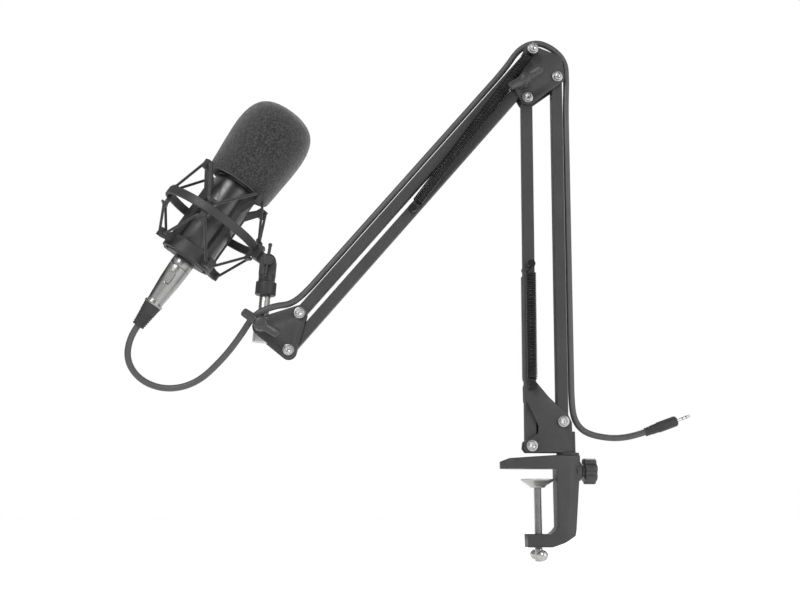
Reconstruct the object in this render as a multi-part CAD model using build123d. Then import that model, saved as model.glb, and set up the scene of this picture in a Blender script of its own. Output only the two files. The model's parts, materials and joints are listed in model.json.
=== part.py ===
from build123d import *
import os
from math import cos, pi, radians, sin, sqrt, tan

# Condenser microphone in an elastic shock mount, on a two-section desk arm with a screw clamp.
# Millimetres, +Z up. The arm folds in the XZ plane; the user of the microphone sits at -Y.
# Origin: the clamp screw's axis where it meets the underside of the upper jaw.

# ---- driving dimensions: arm -------------------------------------------------------------------
TUBE = 11.5                 # square tube, across flats
TUBE_WALL = 1.2
PLATE_T = 2.0
PLATE_GAP = 6.5             # from the arm's plane to a plate's inner face
PLATE_OUT = PLATE_GAP + PLATE_T
BOLT_R = 3.0
RUN = 0.05                  # radial running clearance of a pin in its bore
LOWER_LENGTH = 366.3        # pivot to pivot
LOWER_LEAN = 0.55           # degrees from upright, towards +X
UPPER_LENGTH = 374.3
UPPER_SLOPE = 49.8          # degrees above level, rising towards the elbow
BASE_LEFT = (-6.0, 22.7)    # pivot centres are (x, z)
BASE_RIGHT = (26.5, 47.0)
ELBOW_TOP = (2.5, 440.0)
PARALLEL_STEP = (-10.5, -37.5)   # from a top-rod pivot to the bottom-rod pivot below it
SPRING_Y = 14.0             # the springs of a pair lie this far each side of the arm's plane
SPRING_R = 5.5
SPRING_WIRE = 1.5
HOOK_ROD_R = 2.4
STUD_R = 2.5
LOWER_ANCHOR = 59.5         # along the left rod, from its base pivot to the spring's lower stud
LOWER_PIN = 184.0           # along the left rod, from its base pivot to the spring's upper pin
UPPER_PIN = 182.0           # along the bottom rod, from its elbow pivot to the spring's pin
JOGGLE = 2.2                # the base plates' upper lugs are bent this much further out
BEND_SQUARE = (-0.630, 0.777)    # square to the two bend lines of a base plate, in (x, z)
BEND_FROM, BEND_TO = 33.7, 48.2  # the bend lines, measured from the origin along BEND_SQUARE

# ---- driving dimensions: clamp -----------------------------------------------------------------
CLAMP_HALF_DEPTH = 11.0
JAW_LEFT = -37.0
JAW_TOP = 10.5
SPINE_X = (17.6, 42.5)
SPINE_TOP = 13.6
SPINE_FOOT_X = 37.0
LOWER_JAW_Z = (-76.5, -63.4)
LOWER_JAW_LEFT = -12.5
PAD_R = 16.5
PAD_TOP = -10.0
SCREW_R = 4.0
SCREW_END = -90.0
JAW_CORNER = (12.0, 6.0)    # taken off the upper jaw's tip in plan, along X and along Y
SPINE_CORNER = (8.0, 4.5)   # taken off the spine's outer edges in plan, along X and along Y
LOCK_Z = -2.0
LOCK_SCREW_R = 3.0
KNOB_X = 47.0
TOMMY_Z = -83.8
SWIVEL_X = 31.5
SWIVEL_R = 5.0

# ---- driving dimensions: head ------------------------------------------------------------------
TILT_KNOB = (-276.5, 140.0)      # where the swivel post is clamped in the end bracket
POST_LEAN = 4.0
POST_STEM_R = 5.5
POST_BARREL_R = 8.5
COLLAR_FROM, COLLAR_TO = 33.0, 47.0     # along the post, from the tilt knob
FORK_PIVOT_UP = 67.0
MIC_FOOT = (-356.1, 208.2)       # centre of the microphone's bottom face
MIC_ANGLE = 57.0                 # the microphone's axis above level
BODY_R = 24.0
GRILLE_R = 25.0
BODY_TOP = 98.0
GRILLE_TOP = 158.0
RING_AT = 49.0                   # along the microphone, to the ring's middle
RING_R = 55.0
RING_WALL = 3.5
RING_HEIGHT = 9.0
CLIP_TOP_AT, CLIP_TOP_R = 90.7, 44.0
CLIP_LOW_AT, CLIP_LOW_R = 7.0, 40.0
POST_UP, POST_DOWN, POST_R = 9.0, 12.0, 49.4
ELASTIC_R = 1.5
CORD_R = 3.25
CORD_CLEAR = 1.2                 # from a tube's face to the cord clipped along it


def polar(length, angle):
    return (length * cos(radians(angle)), length * sin(radians(angle)))


def add(p, q, k=1.0):
    return (p[0] + k * q[0], p[1] + k * q[1])


LOWER = polar(LOWER_LENGTH, 90 - LOWER_LEAN)
UPPER = polar(UPPER_LENGTH, UPPER_SLOPE)
ELBOW_LEFT = add(BASE_LEFT, LOWER)
ELBOW_RIGHT = add(BASE_RIGHT, LOWER)
ELBOW_LOW = add(ELBOW_TOP, PARALLEL_STEP)
END_TOP = add(ELBOW_TOP, UPPER, -1)
END_LOW = add(ELBOW_LOW, UPPER, -1)
ANCHOR = add(BASE_LEFT, LOWER, LOWER_ANCHOR / LOWER_LENGTH)
LOWER_SPRING_PIN = add(BASE_LEFT, LOWER, LOWER_PIN / LOWER_LENGTH)
UPPER_SPRING_PIN = add(ELBOW_LOW, UPPER, -UPPER_PIN / UPPER_LENGTH)

MIC = Plane(
    origin=(MIC_FOOT[0], 0, MIC_FOOT[1]),
    x_dir=(sin(radians(MIC_ANGLE)), 0, -cos(radians(MIC_ANGLE))),
    z_dir=(cos(radians(MIC_ANGLE)), 0, sin(radians(MIC_ANGLE))),
)
POST = Plane(
    origin=(TILT_KNOB[0], 0, TILT_KNOB[1]),
    x_dir=(cos(radians(POST_LEAN)), 0, -sin(radians(POST_LEAN))),
    z_dir=(sin(radians(POST_LEAN)), 0, cos(radians(POST_LEAN))),
)
FORK_PIVOT = add(TILT_KNOB, polar(FORK_PIVOT_UP, 90 - POST_LEAN))

nodes = {}


# ---- helpers -----------------------------------------------------------------------------------
def disc(p, y0, y1, r, bore=0.0):
    """A disc or ring about an axis along Y through (x, z) = p."""
    face = Circle(r) - Circle(bore) if bore else Circle(r)
    return extrude(Plane(origin=(p[0], y0, p[1]), z_dir=(0, 1, 0)) * face, y1 - y0)


def ring_z(x, z0, z1, r, bore=0.0):
    """A disc or ring about an axis along Z at (x, 0)."""
    face = Circle(r) - Circle(bore) if bore else Circle(r)
    return extrude(Plane(origin=(x, 0, z0)) * face, z1 - z0)


def flat(points, y0, y1, corner=0.0):
    """An outline of (x, z) points, extruded along Y."""
    side = Plane(origin=(0, y0, 0), x_dir=(1, 0, 0), z_dir=(0, -1, 0))
    face = make_face(Polyline(*points, close=True))
    if corner:
        face = fillet(face.vertices(), corner)
    return extrude(side * face, -(y1 - y0))


def hull(circles, y0, y1):
    """The outline a band pulled round circles (x, z, r) would take, extruded along Y."""
    side = Plane(origin=(0, y0, 0), x_dir=(1, 0, 0), z_dir=(0, -1, 0))
    edges = [e for x, z, r in circles for e in (Pos(x, z) * Circle(r)).edges()]
    return extrude(side * make_hull(edges), -(y1 - y0))


def both_sides(maker):
    """The same piece in front of the arm's plane and, mirrored, behind it."""
    piece = maker()
    return [piece, mirror(piece, Plane.XZ)]


def along(p, q, width, depth, start, stop):
    """A box along the line p to q, from start to stop, width in the plane and depth along Y."""
    reach = sqrt((q[0] - p[0]) ** 2 + (q[1] - p[1]) ** 2)
    run = ((q[0] - p[0]) / reach, 0, (q[1] - p[1]) / reach)
    plane = Plane(origin=(p[0], 0, p[1]), x_dir=(0, 1, 0), z_dir=run)
    return extrude(plane.offset(start) * Rectangle(depth, width), stop - start)


def rod_shape(p, q, r, start, stop, y):
    """A round rod along p to q at a depth y, from start to stop."""
    reach = sqrt((q[0] - p[0]) ** 2 + (q[1] - p[1]) ** 2)
    run = ((q[0] - p[0]) / reach, 0, (q[1] - p[1]) / reach)
    return extrude(Plane(origin=(p[0], y, p[1]), z_dir=run).offset(start) * Circle(r), stop - start)


def turned(points, plane):
    """A solid turned from a closed profile of (radius, along) points, placed on a plane."""
    face = make_face(Polyline(*points, close=True))
    solid = revolve(Plane.XZ * face, Axis.Z)
    return plane.location * solid


def place(plane, shape):
    return plane.location * shape


def solids_of(shapes):
    out = []
    for s in shapes:
        out += list(s.solids())
    return Compound(out) if len(out) > 1 else out[0]


def keep(name, *shapes):
    nodes[name] = solids_of(shapes)


# ---- desk clamp --------------------------------------------------------------------------------
def clamp_frame():
    outline = [
        (JAW_LEFT, 0), (SPINE_X[0], 0), (SPINE_X[0], LOWER_JAW_Z[1]),
        (LOWER_JAW_LEFT, LOWER_JAW_Z[1]), (LOWER_JAW_LEFT, LOWER_JAW_Z[0]),
        (12, LOWER_JAW_Z[0]), (24, LOWER_JAW_Z[0] + 4), (SPINE_FOOT_X - 1, LOWER_JAW_Z[1] - 2),
        (SPINE_FOOT_X, LOWER_JAW_Z[1] + 4), (SPINE_X[1], SPINE_TOP - 10), (SPINE_X[1], SPINE_TOP),
        (SPINE_X[0] + 1, SPINE_TOP), (JAW_LEFT + 8.5, JAW_TOP), (JAW_LEFT, JAW_TOP - 3.2),
    ]
    body = flat(outline, -CLAMP_HALF_DEPTH, CLAMP_HALF_DEPTH)
    body += flat([(SPINE_X[0] + 1, LOWER_JAW_Z[1] - 1), (SPINE_X[0] + 1, LOWER_JAW_Z[1] + 8),
                  (SPINE_X[0] - 3, LOWER_JAW_Z[1] + 3), (SPINE_X[0] - 8, LOWER_JAW_Z[1] - 1)],
                 -CLAMP_HALF_DEPTH, CLAMP_HALF_DEPTH)
    spine_run = Vector(SPINE_FOOT_X - SPINE_X[1], 0, LOWER_JAW_Z[1] + 4 - SPINE_TOP + 10)
    across_spine = (-spine_run.Z, 0, spine_run.X)
    down_spine = Plane(origin=(SPINE_X[1], 0, SPINE_TOP - 10), x_dir=across_spine, z_dir=spine_run)
    tip_x, tip_y = JAW_LEFT + JAW_CORNER[0], CLAMP_HALF_DEPTH - JAW_CORNER[1]
    edge_x, edge_y = -SPINE_CORNER[0], CLAMP_HALF_DEPTH - SPINE_CORNER[1]
    outside = CLAMP_HALF_DEPTH + 1
    for side in (-1, 1):
        tip = Polyline((JAW_LEFT - 1, side * outside), (tip_x, side * outside),
                       (tip_x, side * CLAMP_HALF_DEPTH), (JAW_LEFT, side * tip_y),
                       (JAW_LEFT - 1, side * tip_y), close=True)
        body -= extrude(Plane(origin=(0, 0, -1)) * make_face(tip), JAW_TOP + 2)
        edge = Polyline((1, side * outside), (edge_x, side * outside), (edge_x, side * CLAMP_HALF_DEPTH),
                        (0, side * edge_y), (1, side * edge_y), close=True)
        body -= extrude(down_spine.offset(-30) * make_face(edge), 120)
    rim = body.faces().sort_by(Axis.Y)
    body = chamfer([e for f in (rim[0], rim[-1]) for e in f.edges()], 0.8)
    body += extrude(Plane(origin=(SPINE_X[1] - 4, 0, LOCK_Z), z_dir=(1, 0, 0)) * Circle(9.8), 5.2)
    body -= ring_z(0, LOWER_JAW_Z[0] - 1, LOWER_JAW_Z[1] + 1, SCREW_R + RUN)
    body -= ring_z(SWIVEL_X, -32, SPINE_TOP + 1, SWIVEL_R + RUN)
    lock_bore = Plane(origin=(SWIVEL_X, 0, LOCK_Z), z_dir=(1, 0, 0)) * Circle(LOCK_SCREW_R + RUN)
    return body - extrude(lock_bore, 20)


def pressure_pad():
    profile = [(0, PAD_TOP - 2.5), (PAD_R - 5, PAD_TOP - 2.0), (PAD_R - 1, PAD_TOP), (PAD_R, PAD_TOP),
               (PAD_R, PAD_TOP - 1.6), (PAD_R - 4, PAD_TOP - 4.2), (7.2, PAD_TOP - 8.5),
               (SCREW_R + 0.3, PAD_TOP - 8.5), (SCREW_R + 0.3, PAD_TOP - 4.6), (0, PAD_TOP - 4.6)]
    return turned(profile, Plane.XY)


def clamp_screw():
    core = ring_z(0, SCREW_END, PAD_TOP - 5.2, SCREW_R)
    core = chamfer(core.edges().filter_by(GeomType.CIRCLE), 0.8)
    return core - extrude(Plane(origin=(0, -10, TOMMY_Z), z_dir=(0, 1, 0)) * Circle(2 + RUN), 20)


def tommy_bar():
    bar = disc((0, TOMMY_Z), -19, 19, 2.0)
    knobs = [Pos(0, y, TOMMY_Z) * Sphere(5.3) for y in (-19, 19)]
    return bar + knobs[0] + knobs[1]


def lock_knob():
    disc_face = Circle(13.0)
    for k in range(7):
        disc_face -= Rot(0, 0, 360 * k / 7) * Pos(14.6, 0) * Circle(3.4)
    plane = Plane(origin=(KNOB_X, 0, LOCK_Z), z_dir=(1, 0, 0))
    knob = extrude(plane * disc_face, 12)
    knob = chamfer(knob.faces().sort_by(Axis.X)[-1].edges(), 1.0)
    knob += extrude(plane.offset(-2.6) * Circle(6.5), 2.6)
    return knob - extrude(plane.offset(-2.6) * Circle(LOCK_SCREW_R), 10)


def lock_screw():
    start = SWIVEL_X + SWIVEL_R + 0.2
    section = Plane(origin=(start, 0, LOCK_Z), z_dir=(1, 0, 0)) * Circle(LOCK_SCREW_R)
    return extrude(section, KNOB_X + 7.4 - start)


# ---- base bracket ------------------------------------------------------------------------------
def base_plate():
    outline = [
        (ANCHOR[0] - 5.5, ANCHOR[1] + 2.5), (ANCHOR[0] + 4.5, ANCHOR[1] + 4.5), (12, 71),
        (31.5, 53.5), (35, 46), (35, 16), (BASE_LEFT[0] - 5, 16), (BASE_LEFT[0] - 8, 20),
        (BASE_LEFT[0] - 7, 27), (0.5, 35), (1, 42), (ANCHOR[0] - 5.5, 68),
    ]
    blank = flat(outline, -PLATE_OUT - JOGGLE, -PLATE_GAP, 1.6)
    section = Polyline((-40, -PLATE_GAP), (BEND_FROM, -PLATE_GAP), (BEND_TO, -PLATE_GAP - JOGGLE),
                       (95, -PLATE_GAP - JOGGLE), (95, -PLATE_OUT - JOGGLE), (BEND_TO, -PLATE_OUT - JOGGLE),
                       (BEND_FROM, -PLATE_OUT), (-40, -PLATE_OUT), close=True)
    across = Plane(origin=(0, 0, 0), x_dir=(BEND_SQUARE[0], 0, BEND_SQUARE[1]),
                   z_dir=(-BEND_SQUARE[1], 0, BEND_SQUARE[0]))
    plate = blank & extrude(across * make_face(section), 150, both=True)
    for p in (BASE_LEFT, BASE_RIGHT):
        plate -= disc(p, -PLATE_OUT - 1, -PLATE_GAP + 1, BOLT_R)
    return plate - disc(ANCHOR, -PLATE_OUT - JOGGLE - 1, -PLATE_GAP + 1, STUD_R)


def base_foot():
    block = Pos(SWIVEL_X - 1.2, 0, 25.5) * Box(15, 2 * PLATE_GAP, 19)
    spine = Pos(36.4, 0, 26.5) * Box(2.8, 2 * PLATE_OUT, 21)
    post = ring_z(SWIVEL_X, -27, 16, SWIVEL_R)
    groove = ring_z(SWIVEL_X, -7, 3, SWIVEL_R + 1, SWIVEL_R - 1)
    return (block + spine + post) - groove


def swivel_washer():
    return ring_z(SWIVEL_X, SPINE_TOP + 0.1, 16, 11.3, SWIVEL_R)


def bolt(p, y_head, y_end, head_r=4.6, washer_r=5.6):
    """A bolt from y_head (outer face of its washer's seat) to y_end, with head, washers and nut."""
    shank = disc(p, y_head - 1.2, y_end + 5.2, BOLT_R)
    head = disc(p, y_head - 5.0, y_head - 1.0, head_r)
    face = Plane(origin=(p[0], y_head - 5.0, p[1]), z_dir=(0, 1, 0))
    socket = extrude(face * RegularPolygon(2.6, 6), 2.0)
    washer = disc(p, y_head - 1.0, y_head, washer_r, BOLT_R)
    back_washer = disc(p, y_end, y_end + 1.0, washer_r, BOLT_R)
    nut = extrude(Plane(origin=(p[0], y_end + 1.0, p[1]), z_dir=(0, 1, 0)) * RegularPolygon(5.2, 6), 3.6)
    nut -= disc(p, y_end + 0.9, y_end + 4.7, BOLT_R)
    return [shank + head - socket, washer, back_washer, nut]


def glides(p):
    """Nylon washers each side of a rod's end."""
    return both_sides(lambda: disc(p, -PLATE_GAP, -TUBE / 2 - 0.1, 5.6, BOLT_R))


def stud(p, y0, y1):
    """A headed stud standing out from y0 to y1 (y1 further from the arm's plane, negative)."""
    return disc(p, y1 + 2.0, y0, STUD_R) + disc(p, y1, y1 + 2.0, 4.15)


# ---- arm sections ------------------------------------------------------------------------------
def tube(p, q, length, crossing=None):
    body = along(p, q, TUBE, TUBE, -1, length + 1)
    body = fillet(body.edges().sort_by(SortBy.LENGTH)[-4:], 1.2)
    inner = TUBE - 2 * TUBE_WALL
    body -= along(p, q, inner, inner, -2, length + 2)
    for c in (p, q):
        body -= disc(c, -TUBE, TUBE, BOLT_R + RUN)
    if crossing:
        body -= disc(crossing, -TUBE, TUBE, STUD_R)
    return body


def end_caps(p, q, length):
    caps = []
    for a, b in ((p, q), (q, p)):
        dome = disc(a, -TUBE / 2, TUBE / 2, TUBE / 2)
        bore = disc(a, -TUBE, TUBE, BOLT_R + RUN)
        caps.append(dome - along(a, b, 3 * TUBE, 3 * TUBE, -1, 3 * TUBE) - bore)
    return caps


def spring_pin(p):
    pin = disc(p, -SPRING_Y - 2.2, SPRING_Y + 2.2, STUD_R)
    for sign in (-1, 1):
        y = sign * (SPRING_Y + 2.2)
        pin += disc(p, min(y, y + 2 * sign), max(y, y + 2 * sign), 4.15)
    return pin


def spring(p, q, start, stop):
    """One coil's envelope with its end loop round p, running towards q, in front of the arm."""
    loop = disc(p, -SPRING_Y - 1.5, -SPRING_Y + 1.5, 5.4, STUD_R + 0.1)
    neck = rod_shape(p, q, 2.4, 4.6, start + 2, -SPRING_Y)
    coil = rod_shape(p, q, SPRING_R, start, stop, -SPRING_Y)
    coil -= rod_shape(p, q, SPRING_R - 2 * SPRING_WIRE * 0.8, start + 1.6, stop + 1, -SPRING_Y)
    return loop + neck + coil


def spring_hook(p, q, reach, hole_r):
    loop = disc(p, -SPRING_Y - 1.5, -SPRING_Y + 1.5, 5.8, hole_r + 0.1)
    return loop + rod_shape(p, q, HOOK_ROD_R, 5.0, reach, -SPRING_Y)


# ---- wing nuts ---------------------------------------------------------------------------------
def wing_nut(p, y_seat, angle, reach, hub_r):
    """A wing nut whose hub sits at y_seat and stands out towards -Y."""
    hub = disc(p, y_seat - 9, y_seat, hub_r)
    hub = fillet(hub.faces().sort_by(Axis.Y)[0].edges(), 2.0)
    lift = Plane(origin=(p[0], y_seat - 8.5, p[1]), x_dir=(cos(radians(angle)), 0, sin(radians(angle))),
                 z_dir=(0, -1, 0))
    blade = extrude(lift * SlotOverall(2 * reach, 8.0), 4.5)
    blade += extrude(lift * SlotOverall(1.5 * reach, 8.0), -3.0)
    nut = hub + blade
    return nut - disc(p, y_seat - 7, y_seat + 1, BOLT_R + RUN)


# ---- head --------------------------------------------------------------------------------------
def swivel_post():
    barrel = Pos(0, 0, -5) * Cylinder(POST_BARREL_R, 20)
    flats = Pos(0, 0, -5) * Box(30, 2 * PLATE_GAP - 0.3, 24)
    stem = Pos(0, 0, 4) * Cylinder(POST_STEM_R, 47, align=(Align.CENTER, Align.CENTER, Align.MIN))
    cross = Rot(90, 0, 0) * Cylinder(BOLT_R + RUN, 40)
    return place(POST, (barrel & flats) + stem - cross)


def thread_collar():
    ring = Pos(0, 0, COLLAR_FROM) * Cylinder(10.5, COLLAR_TO - COLLAR_FROM,
                                             align=(Align.CENTER, Align.CENTER, Align.MIN))
    ring = chamfer(ring.edges().filter_by(GeomType.CIRCLE), 0.7)
    return place(POST, ring - Pos(0, 0, 40) * Cylinder(POST_STEM_R + RUN, 30))


def fork():
    low = Pos(0, 0, COLLAR_TO) * Cylinder(8.4, 10, align=(Align.CENTER, Align.CENTER, Align.MIN))
    cheeks = Pos(0, 0, COLLAR_TO + 6) * Box(16.6, 15.4, FORK_PIVOT_UP - COLLAR_TO - 6,
                                            align=(Align.CENTER, Align.CENTER, Align.MIN))
    crown = Pos(0, 0, FORK_PIVOT_UP) * Rot(90, 0, 0) * Cylinder(8.3, 15.4)
    body = low + cheeks + crown
    body -= Pos(0, 0, FORK_PIVOT_UP + 2) * Box(30, 8.4, 25)
    body -= Pos(0, 0, FORK_PIVOT_UP) * Rot(90, 0, 0) * Cylinder(2.5 + RUN, 40)
    body -= Pos(0, 0, COLLAR_TO) * Cylinder(POST_STEM_R + RUN, 2 * 4.2)
    return place(POST, body)


def tilt_lever():
    pin = disc(FORK_PIVOT, -10, 10.4, 2.5)
    hub = fillet(disc(FORK_PIVOT, -15.7, -7.9, 5.4).faces().sort_by(Axis.Y)[0].edges(), 1.5)
    stop = disc(FORK_PIVOT, 7.9, 10.4, 4.2)
    bar = Pos(FORK_PIVOT[0], -12.4, FORK_PIVOT[1]) * Rot(0, 8, 0) * Cylinder(1.6, 32)
    ends = [Pos(FORK_PIVOT[0], -12.4, FORK_PIVOT[1]) * Rot(0, 8, 0) * Pos(0, 0, z) * Sphere(2.1)
            for z in (-16, 16)]
    return pin + hub + stop + bar + ends[0] + ends[1]


def shock_ring():
    opening = Cylinder(RING_R - RING_WALL, RING_HEIGHT + 2)
    band = Pos(0, 0, RING_AT) * (Cylinder(RING_R, RING_HEIGHT) - opening)
    band = fillet(band.edges().filter_by(GeomType.CIRCLE), 1.0)
    body = place(MIC, band)
    for k in range(4):
        lug = Pos(POST_R + 1.0, 0, RING_AT + (POST_UP - POST_DOWN) / 2) * Box(3.4, 6.0, POST_UP + POST_DOWN)
        for s in (RING_AT + POST_UP, RING_AT - POST_DOWN):
            lug += Pos(POST_R + 1.0, 0, s) * Rot(90, 0, 0) * Cylinder(2.4, 8.0)
        body += place(MIC, Rot(0, 0, 90 * k) * lug)
    block = place(MIC, Pos(57.0, 0, RING_AT - 1.0) * Box(6.5, 14, 15))
    tongue = disc(FORK_PIVOT, -4.0, 4.0, 7.4)
    neck = place(MIC, Pos(65.0, 0, RING_AT - 3.6) * Box(11, 8.0, 11))
    return body + block + tongue + neck - disc(FORK_PIVOT, -10, 10, 2.5 + RUN)


def cage():
    cup = Pos(0, 0, 8.6) * (Cylinder(28.0, 14.8) - Cylinder(BODY_R, 16))
    body = fillet(cup.edges().filter_by(GeomType.CIRCLE), 0.8)
    for k in range(4):
        strut = Pos(26.6, 0, 44) * Box(5.2, 7.0, 66)
        shoulder = Polyline((24, 70), (29, 70), (CLIP_TOP_R - 3, CLIP_TOP_AT - 6),
                            (CLIP_TOP_R + 3, CLIP_TOP_AT - 6), (CLIP_TOP_R + 3, CLIP_TOP_AT + 3.5),
                            (CLIP_TOP_R - 4, CLIP_TOP_AT + 3.5), (CLIP_TOP_R - 6, CLIP_TOP_AT - 1),
                            (24, 76), close=True)
        upper = extrude(Plane.XZ * make_face(shoulder), 3.5, both=True)
        foot = Polyline((25, 6), (25, 15), (CLIP_LOW_R - 4, 12), (CLIP_LOW_R + 3, 12), (CLIP_LOW_R + 3, 3),
                        (CLIP_LOW_R - 3, 3), close=True)
        lower = extrude(Plane.XZ * make_face(foot), 3.5, both=True)
        for r, s in ((CLIP_TOP_R, CLIP_TOP_AT), (CLIP_LOW_R, CLIP_LOW_AT + 0.5)):
            lower -= Pos(r, 0, s) * Rot(90, 0, 0) * Cylinder(ELASTIC_R + 0.2, 20)
            upper -= Pos(r, 0, s) * Rot(90, 0, 0) * Cylinder(ELASTIC_R + 0.2, 20)
        body += Rot(0, 0, 45 + 90 * k) * (strut + upper + lower)
    return place(MIC, body - Pos(0, 0, 50) * Cylinder(BODY_R, 130))


def elastic(post_s, clip_r, clip_s):
    """A cord laced in a zigzag between the ring's four posts and the cage's four clips."""
    runs = []
    post_r = POST_R + 1.0
    for k in range(4):
        for turn in (-1, 1):
            a = Vector(post_r, 4.2 * turn, 0).rotate(Axis.Z, 90 * k) + Vector(0, 0, post_s)
            b = Vector(clip_r, -4.2 * turn, 0).rotate(Axis.Z, 90 * k + 45 * turn) + Vector(0, 0, clip_s)
            lead = (b - a).normalized()
            gap = 2.9
            start = Plane(a + lead * gap, z_dir=lead)
            runs.append(Solid.make_cylinder(ELASTIC_R, (b - a).length - 2 * gap, start))
    return [place(MIC, r) for r in runs]


# ---- microphone --------------------------------------------------------------------------------
def mic_base_ring():
    return turned([(9.6, 0), (20.6, 0), (21.4, 0.8), (21.4, 5.0), (BODY_R - 1.6, 5.0), (BODY_R - 1.6, 12),
                   (16, 12), (16, 6), (9.6, 6)], MIC)


def mic_body():
    return turned([(BODY_R - 1.5, 5.1), (BODY_R - 0.6, 5.1), (BODY_R, 5.7), (BODY_R, BODY_TOP),
                   (BODY_R - 1.5, BODY_TOP)], MIC)


def mic_grille():
    outer = [(GRILLE_R, BODY_TOP), (GRILLE_R, 143), (23.5, 150), (18.5, 155.5), (10, GRILLE_TOP - 0.4),
             (0, GRILLE_TOP)]
    inner = [(0, GRILLE_TOP - 1), (9.8, GRILLE_TOP - 1.4), (17.9, 154.6), (22.6, 149.5),
             (GRILLE_R - 1, 142.6), (GRILLE_R - 1, BODY_TOP + 1.4), (GRILLE_R - 6, BODY_TOP + 1.4),
             (GRILLE_R - 6, BODY_TOP)]
    return turned(outer + inner, MIC)


def capsule():
    disc_part = Pos(0, 0, 133) * Rot(90, 0, 0) * Cylinder(13, 7)
    saddle = Pos(0, 0, 112) * Box(14, 8, 14) + Pos(0, 0, 102.5) * Cylinder(15, 5)
    return [place(MIC, disc_part), place(MIC, saddle)]


def circuit_board():
    board = Pos(0, 0, 58) * Box(34, 1.6, 72)
    chips = [Pos(x, 2.2, s) * Box(7, 2.8, 7) for x, s in ((-8, 40), (8, 58), (-6, 78))]
    return place(MIC, board + chips[0] + chips[1] + chips[2])


def xlr_inlet():
    bed = Pos(0, 0, 14) * Cylinder(15.5, 4)
    pins = [Pos(*polar(4.2, a), 8.5) * Cylinder(1.2, 8) for a in (30, 150, 270)]
    return place(MIC, bed + pins[0] + pins[1] + pins[2])


def foam_windscreen():
    outer = Spline((36.2, 96), (38.6, 122), (40.4, 146), (39.2, 165), (31.5, 181), (14, 188.6), (0, 189.4))
    bore = [(0, 159.5), (26.0, 159.5), (26.0, 92.5), (34, 92.5), (36.2, 96)]
    profile = make_face(Curve() + outer + Polyline((0, 189.4), (0, 159.5)) + Polyline(*bore))
    return place(MIC, revolve(Plane.XZ * profile, Axis.Z))


# ---- cable plug --------------------------------------------------------------------------------
def plug_shell():
    return turned([(9.3, 5.6), (9.3, -1.4), (11.4, -1.4), (11.4, -9.2), (10.9, -9.4), (10.9, -9.9),
                   (11.3, -10.1), (10.6, -26), (8.4, -50), (8.4, -52.2), (9.6, -52.6), (9.8, -54), (9.4, -55.5),
                   (7.0, -55.5),
                   (7.0, -48), (8.0, -30), (8.3, -14), (8.3, 5.6)], MIC)


def plug_insert():
    body = Pos(0, 0, -5) * Cylinder(8.25, 18)
    for a in (30, 150, 270):
        body -= Pos(*polar(4.2, a), 4) * Cylinder(1.3, 14)
    return place(MIC, body)


def latch_slot():
    return Pos(0, -10, -24) * Box(6.4, 9, 12.4)


def plug_latch():
    button = Pos(0, -9.6, -24) * Box(6.0, 3.6, 12.0)
    for k in range(5):
        button -= Pos(0, -11.4, -28.8 + 2.4 * k) * Box(7, 0.8, 0.9)
    return place(MIC, button)


def plug_boot():
    return turned([(9.0, -55.6), (8.8, -57.5), (6.2, -81), (CORD_R, -81), (CORD_R, -60), (6.8, -55.6)], MIC)


# ---- cord --------------------------------------------------------------------------------------
def beside_upper(t, off, y=0.0):
    """A point t along the top rod from its lower pivot and off to the outside of its axis."""
    e = (UPPER[0] / UPPER_LENGTH, UPPER[1] / UPPER_LENGTH)
    return (END_TOP[0] + t * e[0] - off * e[1], y, END_TOP[1] + t * e[1] + off * e[0])


def beside_lower(t, off, y=0.0):
    """A point t up the right rod from its base pivot and off to its right."""
    e = (LOWER[0] / LOWER_LENGTH, LOWER[1] / LOWER_LENGTH)
    return (BASE_RIGHT[0] + t * e[0] + off * e[1], y, BASE_RIGHT[1] + t * e[1] - off * e[0])


def cord_run(name, points):
    """A tube along straight runs joined by tangent arcs; prints its radii and checks its volume."""
    pts = [Vector(*p) for p in points]
    if len(pts) == 2:
        solid = Solid.make_cylinder(CORD_R, (pts[1] - pts[0]).length, Plane(pts[0], z_dir=pts[1] - pts[0]))
        keep(name, solid)
        return
    radii = []
    for a, b, c in zip(pts, pts[1:], pts[2:]):
        half_turn = radians((b - a).get_angle(c - b)) / 2
        radii.append(0.45 * min((b - a).length, (c - b).length) / tan(half_turn))
    path = FilletPolyline(*pts, radius=radii)
    start = Plane(origin=path @ 0, z_dir=path % 0)
    solid = sweep(start * Circle(CORD_R), path=path)
    keep(name, solid)
    print(name, "length", round(path.length, 1), "radii", [round(r) for r in radii],
          "volume ratio", round(solid.volume / (pi * CORD_R ** 2 * path.length), 4))


SIDE = TUBE / 2 + CORD_R + CORD_CLEAR
BOOT_END = MIC.from_local_coords(Vector(0, 0, -81))
LOOP_LAST, BRACKET_FIRST = (-297.5, -8, 129.5), (-284, -11, 152)
LOOP_LEAVES = tuple((Vector(*LOOP_LAST) + Vector(*BRACKET_FIRST)) / 2)    # in front of the swivel post
CORD_LOOP = [tuple(BOOT_END), (-407.8, 0, 128.6), (-409.5, 0, 104), (-393.5, 0, 84), (-367, -1, 76),
             (-338.5, -2.5, 83.5), (-314, -5, 107.5), LOOP_LAST, LOOP_LEAVES]
CORD_BRACKET = [LOOP_LEAVES, BRACKET_FIRST, (-264, -10.8, 160.5), beside_upper(1.5, 12.6, -5.0),
                beside_upper(21, SIDE), beside_upper(52, SIDE)]
CORD_UPPER = [beside_upper(52, SIDE), beside_upper(305, SIDE)]
CORD_ELBOW = [beside_upper(305, SIDE), beside_upper(345, SIDE), (-9, 0, 447.5), (10, 0, 456),
              (29, 0, 448), (41, 0, 433.5), (41.6, 0, 413), beside_lower(334, SIDE),
              beside_lower(300, SIDE)]
CORD_LOWER = [beside_lower(300, SIDE), beside_lower(50, SIDE)]
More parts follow.
